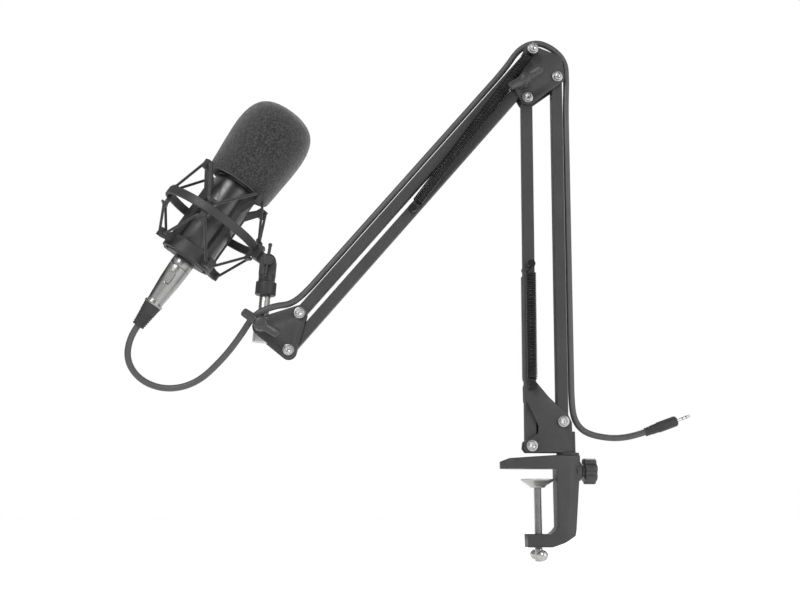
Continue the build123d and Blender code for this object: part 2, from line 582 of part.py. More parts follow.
CORD_TAIL = [beside_lower(50, SIDE), beside_lower(22, SIDE), (38.6, 0, 50.5), (46.5, 0, 38.5),
             (61, 0, 32.8), (82.5, 0, 30.5), (104.5, 0, 34.5), (126.5, 0, 42.5)]
TAIL_END = Vector(*CORD_TAIL[-1])
JACK = Plane(origin=TAIL_END, z_dir=TAIL_END - Vector(*CORD_TAIL[-2]))


def jack_body():
    return turned([(CORD_R, -16), (4.4, -16), (4.9, -2), (5.4, -1.6), (5.4, 18), (4.6, 19), (0, 19), (0, 0.2),
                   (CORD_R, 0.2)], JACK)


def jack_pin():
    return turned([(0, 19), (3.2, 19), (3.2, 20), (1.75, 20), (1.75, 31.4), (1.25, 32.2), (1.7, 33), (0.5, 34.6),
                   (0, 34.6)], JACK)


# ---- every node --------------------------------------------------------------------------------
keep("clamp_frame", clamp_frame())
keep("pressure_pad", pressure_pad())
keep("clamp_screw", clamp_screw())
keep("tommy_bar", tommy_bar())
keep("lock_knob", lock_knob())
keep("lock_screw", lock_screw())

keep("base_plates", *both_sides(base_plate))
keep("base_foot", base_foot())
keep("swivel_washer", swivel_washer())
keep("base_fasteners", *bolt(BASE_LEFT, -PLATE_OUT, PLATE_OUT), *bolt(BASE_RIGHT, -PLATE_OUT, PLATE_OUT),
     *glides(BASE_LEFT), *glides(BASE_RIGHT))
keep("spring_anchors", *both_sides(lambda: stud(ANCHOR, -PLATE_GAP - JOGGLE, -SPRING_Y - 4.2)))

keep("lower_rod_left", tube(BASE_LEFT, ELBOW_LEFT, LOWER_LENGTH, LOWER_SPRING_PIN))
keep("lower_rod_left_caps", *end_caps(BASE_LEFT, ELBOW_LEFT, LOWER_LENGTH))
keep("lower_rod_right", tube(BASE_RIGHT, ELBOW_RIGHT, LOWER_LENGTH))
keep("lower_rod_right_caps", *end_caps(BASE_RIGHT, ELBOW_RIGHT, LOWER_LENGTH))
keep("lower_spring_pin", spring_pin(LOWER_SPRING_PIN))
LOWER_SPAN = LOWER_PIN - LOWER_ANCHOR
keep("lower_springs", *both_sides(lambda: spring(LOWER_SPRING_PIN, ANCHOR, 8.5, LOWER_SPAN - 9.5)))
keep("lower_spring_hooks", *both_sides(lambda: spring_hook(ANCHOR, LOWER_SPRING_PIN, 60, STUD_R)))


def elbow_plate():
    plate = hull([(*ELBOW_TOP, 8.5), (29.5, 431.5, 6.5), (*ELBOW_RIGHT, 8.0), (*ELBOW_LEFT, 7.8),
                  (*ELBOW_LOW, 9.5)], -PLATE_OUT, -PLATE_GAP)
    for p in (ELBOW_TOP, ELBOW_RIGHT, ELBOW_LEFT, ELBOW_LOW):
        plate -= disc(p, -PLATE_OUT - 1, -PLATE_GAP + 1, BOLT_R)
    return plate


def spring_spacer():
    return disc(ELBOW_TOP, -SPRING_Y + 1.7, -PLATE_OUT, 4.6, BOLT_R)


def outer_spacer():
    return disc(ELBOW_TOP, -SPRING_Y - 4.0, -SPRING_Y - 1.7, 4.6, BOLT_R)


ELBOW_HEAD = -SPRING_Y - 4.0
WING_SEAT = -21.0
keep("elbow_plates", *both_sides(elbow_plate))
keep("elbow_fasteners", *bolt(ELBOW_LEFT, -PLATE_OUT, PLATE_OUT), *bolt(ELBOW_RIGHT, -PLATE_OUT, PLATE_OUT),
     *bolt(ELBOW_TOP, ELBOW_HEAD, -ELBOW_HEAD), *both_sides(spring_spacer), *both_sides(outer_spacer),
     *[g for p in (ELBOW_LEFT, ELBOW_RIGHT, ELBOW_TOP, ELBOW_LOW) for g in glides(p)])


def clamp_bolt(p):
    """The long bolt a wing nut runs on, its head behind and a sleeve in front."""
    shank = disc(p, WING_SEAT - 6.5, PLATE_OUT + 1.2, BOLT_R)
    head = extrude(Plane(origin=(p[0], PLATE_OUT + 1.0, p[1]), z_dir=(0, 1, 0)) * RegularPolygon(5.2, 6), 4)
    washer = disc(p, PLATE_OUT, PLATE_OUT + 1.0, 5.6, BOLT_R)
    sleeve = disc(p, WING_SEAT + 0.1, -PLATE_OUT, 5.0, BOLT_R)
    return [shank + head, washer, sleeve]


keep("elbow_clamp_bolt", *clamp_bolt(ELBOW_LOW))
keep("elbow_wing_nut", wing_nut(ELBOW_LOW, WING_SEAT, 32, 18.5, 7.0))

keep("upper_rod_top", tube(END_TOP, ELBOW_TOP, UPPER_LENGTH))
keep("upper_rod_top_caps", *end_caps(END_TOP, ELBOW_TOP, UPPER_LENGTH))
keep("upper_rod_bottom", tube(END_LOW, ELBOW_LOW, UPPER_LENGTH, UPPER_SPRING_PIN))
keep("upper_rod_bottom_caps", *end_caps(END_LOW, ELBOW_LOW, UPPER_LENGTH))
keep("upper_spring_pin", spring_pin(UPPER_SPRING_PIN))
UPPER_SPAN = sqrt((ELBOW_TOP[0] - UPPER_SPRING_PIN[0]) ** 2 + (ELBOW_TOP[1] - UPPER_SPRING_PIN[1]) ** 2)
keep("upper_springs", *both_sides(lambda: spring(UPPER_SPRING_PIN, ELBOW_TOP, 8.5, UPPER_SPAN - 42)))
keep("upper_spring_hooks", *both_sides(lambda: spring_hook(ELBOW_TOP, UPPER_SPRING_PIN, 58, BOLT_R)))


def end_plate():
    plate = hull([(*END_TOP, 8.0), (*END_LOW, 8.2), (*TILT_KNOB, 9.5)], -PLATE_OUT, -PLATE_GAP)
    for p in (END_TOP, END_LOW, TILT_KNOB):
        plate -= disc(p, -PLATE_OUT - 1, -PLATE_GAP + 1, BOLT_R)
    return plate


keep("end_plates", *both_sides(end_plate))
keep("end_fasteners", *bolt(END_TOP, -PLATE_OUT, PLATE_OUT), *bolt(END_LOW, -PLATE_OUT, PLATE_OUT),
     *glides(END_TOP), *glides(END_LOW))
keep("end_clamp_bolt", *clamp_bolt(TILT_KNOB))
keep("end_wing_nut", wing_nut(TILT_KNOB, WING_SEAT, -32, 19.5, 8.0))

keep("swivel_post", swivel_post())
keep("thread_collar", thread_collar())
keep("fork", fork())
keep("tilt_lever", tilt_lever())
keep("shock_ring", shock_ring())
keep("cage", cage())
keep("elastic_cords", *elastic(RING_AT + POST_UP, CLIP_TOP_R, CLIP_TOP_AT),
     *elastic(RING_AT - POST_DOWN, CLIP_LOW_R, CLIP_LOW_AT + 0.5))

keep("mic_base_ring", mic_base_ring())
keep("mic_body", mic_body())
keep("mic_grille", mic_grille())
keep("capsule", *capsule())
keep("circuit_board", circuit_board())
keep("xlr_inlet", xlr_inlet())
keep("foam_windscreen", foam_windscreen())

keep("plug_shell", plug_shell() - place(MIC, latch_slot()))
keep("plug_insert", plug_insert())
keep("plug_latch", plug_latch())
keep("plug_boot", plug_boot())

cord_run("cable_loop", CORD_LOOP)
cord_run("cable_bracket", CORD_BRACKET)
cord_run("cable_upper", CORD_UPPER)
cord_run("cable_elbow", CORD_ELBOW)
cord_run("cable_lower", CORD_LOWER)
cord_run("cable_tail", CORD_TAIL)
keep("jack_body", jack_body())
keep("jack_pin", jack_pin())

os.makedirs("parts", exist_ok=True)
for name, shape in nodes.items():
    export_step(shape, f"parts/{name}.step")
print(len(nodes), "nodes")
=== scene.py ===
import json
from math import ceil, cos, pi, radians, sin

import bpy
from bpy.props import FloatProperty, FloatVectorProperty, IntProperty, PointerProperty
from mathutils import Matrix, Vector

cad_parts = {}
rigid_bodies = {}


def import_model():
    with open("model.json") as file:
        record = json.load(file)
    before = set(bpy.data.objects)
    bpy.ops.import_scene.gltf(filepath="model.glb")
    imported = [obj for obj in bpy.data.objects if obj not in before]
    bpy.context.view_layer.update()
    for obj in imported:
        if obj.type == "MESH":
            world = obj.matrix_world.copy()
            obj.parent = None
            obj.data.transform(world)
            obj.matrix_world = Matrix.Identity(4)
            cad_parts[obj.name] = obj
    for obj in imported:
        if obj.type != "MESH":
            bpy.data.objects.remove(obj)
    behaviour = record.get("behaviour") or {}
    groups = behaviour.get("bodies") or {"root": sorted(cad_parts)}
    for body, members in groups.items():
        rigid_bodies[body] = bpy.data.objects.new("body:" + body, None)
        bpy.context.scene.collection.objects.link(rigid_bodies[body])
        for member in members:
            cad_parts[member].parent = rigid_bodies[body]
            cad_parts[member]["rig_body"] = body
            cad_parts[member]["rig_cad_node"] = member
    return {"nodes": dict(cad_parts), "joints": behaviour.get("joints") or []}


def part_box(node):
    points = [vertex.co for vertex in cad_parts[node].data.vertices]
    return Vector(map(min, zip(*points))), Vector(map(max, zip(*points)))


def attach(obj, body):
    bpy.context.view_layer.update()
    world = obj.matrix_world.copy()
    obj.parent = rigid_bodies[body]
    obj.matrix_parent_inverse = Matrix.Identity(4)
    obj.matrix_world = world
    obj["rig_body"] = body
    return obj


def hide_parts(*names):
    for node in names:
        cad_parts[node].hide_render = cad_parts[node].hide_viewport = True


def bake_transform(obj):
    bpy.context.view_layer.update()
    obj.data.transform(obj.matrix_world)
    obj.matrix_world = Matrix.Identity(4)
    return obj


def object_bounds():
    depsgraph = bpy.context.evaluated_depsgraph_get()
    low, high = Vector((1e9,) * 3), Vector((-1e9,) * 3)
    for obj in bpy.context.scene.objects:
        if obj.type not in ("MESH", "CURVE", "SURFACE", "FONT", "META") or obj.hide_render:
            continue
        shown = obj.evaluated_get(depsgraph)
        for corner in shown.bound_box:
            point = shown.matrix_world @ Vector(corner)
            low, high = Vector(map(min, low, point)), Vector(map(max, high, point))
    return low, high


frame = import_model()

bl_info = {
    "name": "Condenser microphone on a desk arm",
    "version": (1, 0, 0),
    "blender": (4, 5, 0),
    "location": "3D View > Sidebar > Microphone",
    "description": "Finishes the packed microphone arm: cord, springs, foam, fasteners and paint",
    "category": "Object",
}

# ---- the frame's own measures ----
MM = 0.001
CAD_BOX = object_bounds()
JOINT = {j["name"]: j for j in frame["joints"]}


def pivot(joint):
    return Vector(JOINT[joint]["pos_m"])


def standing(origin, axis):
    """A frame whose Z runs along an axis in the folding plane and whose Y is the row's Y."""
    z = Vector(axis).normalized()
    y = Vector((0, 1, 0))
    place = Matrix((y.cross(z), y, z)).transposed().to_4x4()
    place.translation = origin
    return place


def through(origin):
    """A frame at a pivot whose Z points out of the arm's front, along -Y."""
    place = Matrix(((1, 0, 0), (0, 0, -1), (0, 1, 0))).to_4x4()
    place.translation = origin
    return place


def middle(node):
    low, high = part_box(node)
    return (low + high) / 2


BODY_SPAN = (5.1, 98.0)          # the body tube's ends, along the microphone from its foot
MIC_AXIS = Vector(JOINT["windscreen_pull"]["axis"]).normalized()
MIC = standing(middle("mic_body") - MIC_AXIS * sum(BODY_SPAN) / 2 * MM, MIC_AXIS)
POST = standing(pivot("head_tilt"), JOINT["mount_swivel"]["axis"])
BASE_LEFT, BASE_RIGHT = pivot("lower_left_rod_tilt"), pivot("lower_arm_tilt")
ELBOW_RIGHT, ELBOW_TOP, ELBOW_LOW, END_TOP, TILT_KNOB = map(
    pivot, ("elbow_level", "upper_arm_tilt", "upper_bottom_rod_tilt", "end_bracket_level", "head_tilt"))
END_LOW = END_TOP + (ELBOW_LOW - ELBOW_TOP)
ELBOW_LEFT = BASE_LEFT + (ELBOW_RIGHT - BASE_RIGHT)
UPPER_RUN = (ELBOW_TOP - END_TOP).normalized()
LOWER_RUN = (ELBOW_RIGHT - BASE_RIGHT).normalized()
PLATE_OUT = -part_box("end_plates")[0].y / MM          # a plate's outer face, from the arm's plane
LOWEST = CAD_BOX[0][2]


# ---- settings ----
def size(name, about, default):
    return FloatProperty(name=name, description=about, default=default, unit="LENGTH", precision=4)


def amount(name, about, default, low=0.0, unit="NONE"):
    return FloatProperty(name=name, description=about, default=default, min=low, unit=unit)


def colour(name, about, default):
    return FloatVectorProperty(name=name, description=about, default=default, subtype="COLOR", size=3,
                               min=0.0, max=1.0)


class FinishSettings(bpy.types.PropertyGroup):
    powder: colour("Powder coat", "Colour of the tubes, plates and clamp", (0.027, 0.027, 0.028))
    enamel: colour("Body enamel", "Colour of the microphone's body", (0.011, 0.011, 0.0115))
    moulded: colour("Moulded parts", "Colour of the knobs, ring and cage", (0.016, 0.016, 0.0163))
    plated: colour("Plated steel", "Colour of the bolts, post and screw", (0.44, 0.44, 0.435))
    oxide: colour("Spring wire", "Colour of the blackened spring wire", (0.006, 0.006, 0.006))
    jacket: colour("Cord jacket", "Colour of the cord's jacket", (0.052, 0.052, 0.053))
    rubber: colour("Rubber", "Colour of the plugs' boots", (0.026, 0.026, 0.026))
    foam: colour("Foam", "Colour of the windscreen's foam", (0.034, 0.034, 0.0345))
    braid: colour("Braid", "Colour of the elastic cord's braid", (0.012, 0.012, 0.012))
    mask: colour("Solder mask", "Colour of the circuit board", (0.012, 0.09, 0.035))
    edge: size("Edge rounding", "Radius rolled on the plates' and castings' edges", 0.35 * MM)


class CordSettings(bpy.types.PropertyGroup):
    diameter: size("Cord diameter", "Outside diameter of the microphone's cord", 6.5 * MM)
    sides: IntProperty(name="Cord sides", description="Flats round the cord's tube", default=20, min=8)
    elastic: size("Elastic diameter", "Diameter of the braided elastic cord", 2.9 * MM)
    wire: size("Spring wire", "Diameter of the balance springs' wire", 1.4 * MM)
    pitch: size("Spring pitch", "Distance from one turn of a spring to the next", 1.92 * MM)


class FoamSettings(bpy.types.PropertyGroup):
    grain: size("Foam grain", "How far the foam's cells stand out", 0.35 * MM)
    cell: size("Foam cell", "Size of the foam's cells", 1.6 * MM)


class StageSettings(bpy.types.PropertyGroup):
    floor_drop: size("Floor drop", "How far the floor lies below the lowest point", 1.0 * MM)
    floor_glow: amount("Floor glow", "Light the floor gives off to stay white", 0.5)
    sky: amount("Surround", "Brightness of the white surround", 1.0)
    room: amount("Room", "Brightness of the banded room the metal mirrors", 1.0)
    key: amount("Key light", "Power of the main soft light", 22.0, unit="POWER")
    lens: amount("Lens", "Focal length of the camera, in millimetres", 50.0, 10.0)


# ---- modelling helpers ----
def deselect():
    if bpy.context.object and bpy.context.object.mode != "OBJECT":
        bpy.ops.object.mode_set(mode="OBJECT")
    bpy.ops.object.select_all(action="DESELECT")


def only(obj):
    deselect()
    obj.select_set(True)
    bpy.context.view_layer.objects.active = obj
    return obj


def edit(obj):
    only(obj)
    bpy.ops.object.mode_set(mode="EDIT")
    bpy.ops.mesh.select_mode(type="VERT")
    bpy.ops.mesh.select_all(action="DESELECT")


def leave():
    bpy.ops.object.mode_set(mode="OBJECT")


def pick_faces(obj, wanted):
    """Selects, in edit mode, the faces that wanted(face) says yes to."""
    bpy.ops.mesh.select_mode(type="FACE")
    bpy.ops.mesh.select_all(action="DESELECT")
    leave()
    for face in obj.data.polygons:
        face.select = bool(wanted(face))
    bpy.ops.object.mode_set(mode="EDIT")


def tidy(obj, doubles=0.001 * MM):
    """Merges doubled points and turns every face outwards."""
    edit(obj)
    bpy.ops.mesh.select_all(action="SELECT")
    bpy.ops.mesh.remove_doubles(threshold=doubles)
    bpy.ops.mesh.normals_make_consistent(inside=False)
    leave()
    return obj


def modify(obj, kind, **settings):
    """Adds one modifier and applies it."""
    only(obj)
    modifier = obj.modifiers.new(kind.title(), kind)
    for name, value in settings.items():
        setattr(modifier, name, value)
    bpy.ops.object.modifier_apply(modifier=modifier.name)
    return obj


def round_edges(obj, width, segments=2, angle=30):
    return modify(obj, "BEVEL", width=width, segments=segments, limit_method="ANGLE",
                  angle_limit=radians(angle), use_clamp_overlap=True, miter_outer="MITER_ARC")


def smooth(obj, angle=35):
    only(obj)
    bpy.ops.object.shade_smooth_by_angle(angle=radians(angle))
    return obj


def settle(obj, place=None):
    """Puts a piece where its frame says and bakes the place into its mesh."""
    only(obj)
    if place is not None:
        obj.matrix_world = place @ obj.matrix_world
    bpy.ops.object.transform_apply(location=True, rotation=True, scale=True)
    return obj


def join(first, *others):
    only(first)
    for o in others:
        o.select_set(True)
    bpy.ops.object.join()
    return first


def declare(obj, name, body, finish, *nodes, slot=None):
    """Names a finished piece, hangs it on the body it rides on, gives it its finish and hides the CAD nodes
    it stands for.
    """
    obj.name = obj.data.name = name
    obj.data.materials.clear()
    obj.data.materials.append(FINISHES[finish])
    if body:
        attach(obj, body)
    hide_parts(*nodes)
    return obj


def drawn(profile):
    """Starts a line of points in edit mode from (radius, along) pairs in millimetres."""
    deselect()
    bpy.ops.mesh.primitive_plane_add(size=MM)
    bpy.ops.object.mode_set(mode="EDIT")
    bpy.ops.mesh.select_mode(type="VERT")
    bpy.ops.mesh.select_all(action="SELECT")
    bpy.ops.mesh.merge(type="CENTER")
    bpy.ops.transform.translate(value=(profile[0][0] * MM, 0, profile[0][1] * MM))
    for (r0, s0), (r1, s1) in zip(profile, profile[1:]):
        step = ((r1 - r0) * MM, 0, (s1 - s0) * MM)
        bpy.ops.mesh.extrude_vertices_move(TRANSFORM_OT_translate={"value": step})
    return bpy.context.object


def turned(profile, steps=64, rounding=0.0):
    """A piece turned about Z from a profile in millimetres; a closed outline repeats its first point."""
    obj = drawn(profile)
    bpy.ops.mesh.select_all(action="SELECT")
    bpy.ops.mesh.spin(steps=steps, angle=2 * pi, center=(0, 0, 0), axis=(0, 0, 1))
    leave()
    tidy(obj)
    return round_edges(obj, rounding * MM) if rounding else obj


def collar(inner, outer, low, high, steps=40, rounding=0.15):
    """A plain ring about Z, in millimetres."""
    return turned([(inner, low), (outer, low), (outer, high), (inner, high), (inner, low)], steps, rounding)


def placed(obj, place, angle):
    return smooth(settle(obj, place), angle)


def beside(start, run, along, off, y=0.0):
    """A point of the cord's route, in millimetres: along an arm tube, and off its outer side."""
    square = Vector((-run.z, 0, run.x))
    return tuple((start + run * along * MM + square * off * MM) / MM + Vector((0, y, 0)))


def arc(centre, radius, start, stop, count):
    """Points of a round stretch of a profile, from one angle to another in degrees."""
    angles = [radians(start + (stop - start) * k / count) for k in range(count + 1)]
    return [(max(0.0, centre[0] + radius * cos(a)), centre[1] + radius * sin(a)) for a in angles]


def hexagon(across, low, high):
    """A hexagonal nut along Z with its corners chamfered at both ends, in millimetres."""
    deselect()
    bpy.ops.mesh.primitive_cylinder_add(vertices=6, radius=across / 2 / cos(pi / 6) * MM,
                                        depth=(high - low) * MM, location=(0, 0, (low + high) / 2 * MM))
    return round_edges(settle(bpy.context.object), 0.35 * MM, 2, 20)


def softened(node, width=None, segments=2):
    """A merged copy of a CAD node with its sharp edges rolled over by a width in millimetres."""
    source = frame["nodes"][node]
    copy = source.copy()
    copy.data = source.data.copy()
    copy.parent = None
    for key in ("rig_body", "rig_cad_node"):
        del copy[key]
    bpy.context.scene.collection.objects.link(copy)
    only(copy)
    bpy.ops.mesh.customdata_custom_splitnormals_clear()
    edit(copy)
    bpy.ops.mesh.select_all(action="SELECT")
    bpy.ops.mesh.remove_doubles(threshold=0.002 * MM)
    bpy.ops.mesh.dissolve_limited(angle_limit=radians(0.5))
    leave()
    modify(copy, "BEVEL", width=width * MM if width else bpy.context.scene.mic_finish.edge, segments=segments,
           limit_method="ANGLE", angle_limit=radians(32), use_clamp_overlap=False)
    return smooth(copy, 30)


# ---- lines that tubes follow ----
def route(points, closed=False, resolution=16):
    """The points, in metres, of a smooth NURBS line through a given route."""
    curve = bpy.data.curves.new("route", "CURVE")
    curve.dimensions = "3D"
    spline = curve.splines.new("NURBS")
    spline.points.add(len(points) - 1)
    for point, where in zip(spline.points, points):
        point.co = (*where, 1.0)
    spline.use_cyclic_u = closed
    spline.use_endpoint_u = not closed
    spline.order_u = 3
    spline.resolution_u = resolution
    holder = bpy.data.objects.new("route", curve)
    bpy.context.scene.collection.objects.link(holder)
    bpy.context.view_layer.update()
    line = bpy.data.meshes.new_from_object(holder)
    found = [v.co.copy() for v in line.vertices]
    bpy.data.objects.remove(holder)
    bpy.data.curves.remove(curve)
    bpy.data.meshes.remove(line)
    return found


def hoops(line, radius, sides, closed=False):
    """One hoop of points round each point of a line, turning as little as possible from one to the next."""
    count = len(line)
    runs = []
    for k in range(count):
        before, after = (k - 1, (k + 1) % count) if closed else (max(k - 1, 0), min(k + 1, count - 1))
        runs.append((line[after] - line[before]).normalized())
    side = runs[0].orthogonal().normalized()
    made = []
    for k, (point, run) in enumerate(zip(line, runs)):
        if k:
            side = runs[k - 1].rotation_difference(run) @ side
        side = (side - run * side.dot(run)).normalized()
        up = run.cross(side)
        angles = [2 * pi * j / sides for j in range(sides)]
        made.append([point + radius * (cos(a) * side + sin(a) * up) for a in angles])
    return made


def lengths(line):
    total, out = 0.0, [0.0]
    for a, b in zip(line, line[1:]):
        total += (b - a).length
        out.append(total)
    return out


def skin(name, rings, along, closed=False):
    """A closed tube over hoops, with a UV map: round it from 0 to 1, and metres along it."""
    sides = len(rings[0])
    points = [p for ring in rings for p in ring]
    count = len(rings)
    faces, uvs = [], []
    for k in range(count if closed else count - 1):
        nxt = (k + 1) % count
        v0, v1 = along[k], along[k + 1] if k + 1 < count else along[k] + (rings[0][0] - rings[k][0]).length
        for j in range(sides):
            i = (j + 1) % sides
            faces.append((k * sides + j, k * sides + i, nxt * sides + i, nxt * sides + j))
            uvs += [(j / sides, v0), ((j + 1) / sides, v0), ((j + 1) / sides, v1), (j / sides, v1)]
    if not closed:
        faces.append(tuple(reversed(range(sides))))
        faces.append(tuple((count - 1) * sides + j for j in range(sides)))
        uvs += [(0.0, along[0])] * sides + [(0.0, along[-1])] * sides
    mesh = bpy.data.meshes.new(name)
    mesh.from_pydata(points, [], faces)
    layer = mesh.uv_layers.new(name="along")
    for loop, uv in zip(layer.data, uvs):
        loop.uv = uv
    obj = bpy.data.objects.new(name, mesh)
    bpy.context.scene.collection.objects.link(obj)
    return smooth(obj, 50)


def tube(name, line, radius, sides=10, closed=False):
    return skin(name, hoops(line, radius, sides, closed), lengths(line), closed)


# ---- finishes ----
class Finish:
    """A material's nodes, built round its Principled shader."""

    def __init__(self, name, place=None, **constants):
        self.material = bpy.data.materials.new(name)
        self.material.use_nodes = True
        self.tree = self.material.node_tree
        self.shader = self.tree.nodes["Principled BSDF"]
        coordinates = self.tree.nodes.new("ShaderNodeTexCoord")
        self.uv = coordinates.outputs["UV"]
        self.where = coordinates.outputs["Object"]
        if place is not None:
            turn = self.tree.nodes.new("ShaderNodeMapping")
            turn.vector_type = "TEXTURE"
            turn.inputs["Location"].default_value = place.translation
            turn.inputs["Rotation"].default_value = place.to_euler()
            self.tree.links.new(self.where, turn.inputs["Vector"])
            self.where = turn.outputs["Vector"]
        for socket, value in constants.items():
            self.shader.inputs[socket.replace("_", " ")].default_value = value
        self.normal = None

    def node(self, kind, **settings):
        made = self.tree.nodes.new(kind)
        for name, value in settings.items():
            setattr(made, name, value)
        return made

    def put(self, value, socket):
        if isinstance(value, bpy.types.NodeSocket):
            self.tree.links.new(value, socket)
        else:
            socket.default_value = value

    def noise(self, per_metre, detail, stretch=None):
        made = self.node("ShaderNodeTexNoise")
        where = self.where
        if stretch:
            mapping = self.node("ShaderNodeMapping")
            self.put(where, mapping.inputs["Vector"])
            mapping.inputs["Scale"].default_value = stretch
            where = mapping.outputs["Vector"]
        self.put(where, made.inputs["Vector"])
        made.inputs["Scale"].default_value = per_metre
        made.inputs["Detail"].default_value = detail
        return made.outputs["Fac"]

    def cells(self, per_metre):
        made = self.node("ShaderNodeTexVoronoi")
        self.put(self.where, made.inputs["Vector"])
        made.inputs["Scale"].default_value = per_metre
        return made.outputs["Distance"]

    def ridges(self, per_metre, direction, distortion=0.0):
        made = self.node("ShaderNodeTexWave", bands_direction=direction)
        self.put(self.where, made.inputs["Vector"])
        made.inputs["Scale"].default_value = per_metre * pi / 10
        made.inputs["Distortion"].default_value = distortion
        return made.outputs["Fac"]

    def math(self, operation, a, b=0.0):
        made = self.node("ShaderNodeMath", operation=operation)
        self.put(a, made.inputs[0])
        self.put(b, made.inputs[1])
        return made.outputs[0]

    def spread(self, value, low, high, start=0.3, stop=0.7):
        """A pattern's middle stretched to run from low to high."""
        made = self.node("ShaderNodeMapRange")
        self.put(value, made.inputs["Value"])
        for socket, number in zip(("From Min", "From Max", "To Min", "To Max"), (start, stop, low, high)):
            made.inputs[socket].default_value = number
        return made.outputs["Result"]

    def shades(self, value, *stops, constant=False):
        """A colour ramp of (position, colour) stops."""
        made = self.node("ShaderNodeValToRGB")
        made.color_ramp.interpolation = "CONSTANT" if constant else "LINEAR"
        while len(made.color_ramp.elements) < len(stops):
            made.color_ramp.elements.new(0.5)
        for element, (position, tint) in zip(made.color_ramp.elements, stops):
            element.position = position
            element.color = (*tint, 1.0)
        self.put(value, made.inputs["Fac"])
        return made.outputs["Color"]

    def mixed(self, amount, first, second):
        made = self.node("ShaderNodeMix", data_type="RGBA")
        self.put(amount, made.inputs[0])
        for tint, socket in ((first, made.inputs[6]), (second, made.inputs[7])):
            self.put(tint if isinstance(tint, bpy.types.NodeSocket) else (*tint, 1.0), socket)
        return made.outputs[2]

    def bump(self, height, distance, strength):
        """Adds one layer of relief, its depth in metres, over the layers before it."""
        made = self.node("ShaderNodeBump")
        self.put(height, made.inputs["Height"])
        made.inputs["Distance"].default_value = distance
        made.inputs["Strength"].default_value = strength
        if self.normal is not None:
            self.put(self.normal, made.inputs["Normal"])
        self.normal = made.outputs["Normal"]
        self.put(self.normal, self.shader.inputs["Normal"])

    def grain(self, per_metre, detail, distance, strength):
        self.bump(self.noise(per_metre, detail), distance, strength)

    def paint(self, tint):
        self.put(tint, self.shader.inputs["Base Color"])

    def clouded(self, tint, per_metre, detail, dark, pale, start=0.3, stop=0.7):
        """The tint, drifting from a darker to a paler share of itself."""
        clouds = self.noise(per_metre, detail)
        self.paint(self.shades(clouds, (start, lighter(tint, dark)), (stop, lighter(tint, pale))))

    def gloss(self, value):
        self.put(value, self.shader.inputs["Roughness"])

    def worn(self, per_metre, detail, low, high):
        """Roughness that wanders between two values."""
        self.gloss(self.spread(self.noise(per_metre, detail), low, high))


def lighter(tint, by):
    return tuple(min(1.0, c * by) for c in tint)


def powder_coat(tint):
    f = Finish("powder_coat", Specular_IOR_Level=0.38)
    f.clouded(tint, 45, 3.0, 0.86, 1.14)
    f.worn(260, 3.0, 0.44, 0.58)
    f.grain(1500, 2.0, 0.00022, 0.55)
    f.bump(f.cells(900), 0.00012, 0.25)
    return f.material


def cast_enamel(tint):
    f = Finish("cast_enamel", Specular_IOR_Level=0.42)
    f.clouded(tint, 60, 4.0, 0.9, 1.15)
    f.worn(180, 4.0, 0.38, 0.54)
    f.grain(420, 3.0, 0.0004, 0.35)
    f.grain(2200, 2.0, 0.0001, 0.3)
    return f.material


def satin_enamel(tint, place):
    f = Finish("satin_enamel", place, Coat_Weight=0.25, Coat_Roughness=0.22, Specular_IOR_Level=0.5)
    f.clouded(tint, 30, 2.0, 0.92, 1.1, 0.35, 0.65)
    f.worn(400, 3.0, 0.30, 0.40)
    f.grain(2600, 2.0, 0.00005, 0.35)
    return f.material


def moulded(tint, name="moulded_nylon", roughness=(0.42, 0.56)):
    f = Finish(name, Specular_IOR_Level=0.45)
    f.clouded(tint, 70, 3.0, 0.88, 1.15)
    f.worn(500, 3.0, *roughness)
    f.bump(f.cells(1700), 0.00008, 0.35)
    f.grain(300, 2.0, 0.00015, 0.2)
    return f.material


def plated_steel(tint, name, place, stretch, roughness=(0.20, 0.36)):
    """Plated steel with fine machining lines; stretch is how the lines run in the piece's own frame."""
    f = Finish(name, place, Metallic=1.0)
    lines = f.noise(1.0, 3.0, stretch=stretch)
    streaked = f.shades(lines, (0.3, lighter(tint, 0.92)), (0.7, lighter(tint, 1.06)))
    f.paint(f.mixed(f.spread(f.noise(140, 3.0), 0.0, 0.3), streaked, lighter(tint, 0.8)))
    f.gloss(f.spread(lines, *roughness))
    f.bump(lines, 2e-6, 0.6)
    return f.material


def oxide_wire(tint):
    f = Finish("oxide_wire", Metallic=0.35, Specular_IOR_Level=0.5)
    f.clouded(tint, 300, 3.0, 0.8, 1.5)
    f.worn(900, 2.0, 0.28, 0.42)
    f.grain(3200, 2.0, 0.00005, 0.4)
    return f.material


def jacket(tint):
    f = Finish("cord_jacket", Specular_IOR_Level=0.42)
    f.clouded(tint, 35, 3.0, 0.9, 1.1)
    f.worn(220, 3.0, 0.40, 0.52)
    f.grain(1400, 2.0, 0.00008, 0.35)
    f.grain(60, 1.0, 0.0003, 0.15)
    return f.material


def soft_rubber(tint):
    f = Finish("soft_rubber", Specular_IOR_Level=0.3)
    f.clouded(tint, 80, 3.0, 0.88, 1.12)
    f.worn(600, 2.0, 0.55, 0.68)
    f.grain(2400, 2.0, 0.00008, 0.4)
    return f.material


def open_foam(tint):
    f = Finish("open_foam", Specular_IOR_Level=0.05, Sheen_Weight=0.55, Sheen_Roughness=0.45)
    f.shader.inputs["Sheen Tint"].default_value = (0.75, 0.75, 0.76, 1.0)
    cell = f.cells(1500)
    # painted shade and highlight: each pore is painted dark as the shade inside it, and the rims between
    # pores pale as highlight
    pore_shade = f.spread(cell, 0.0, 1.0, 0.1, 0.6)
    cells = f.shades(pore_shade, (0.0, lighter(tint, 0.45)), (0.55, tint), (1.0, lighter(tint, 1.7)))
    f.paint(f.mixed(f.spread(f.noise(520, 2.0), 0.0, 0.75, 0.4, 0.6), cells, lighter(tint, 0.35)))
    f.worn(800, 2.0, 0.88, 1.0)
    f.bump(cell, 0.0005, 0.7)
    f.grain(2600, 3.0, 0.0003, 0.6)
    return f.material


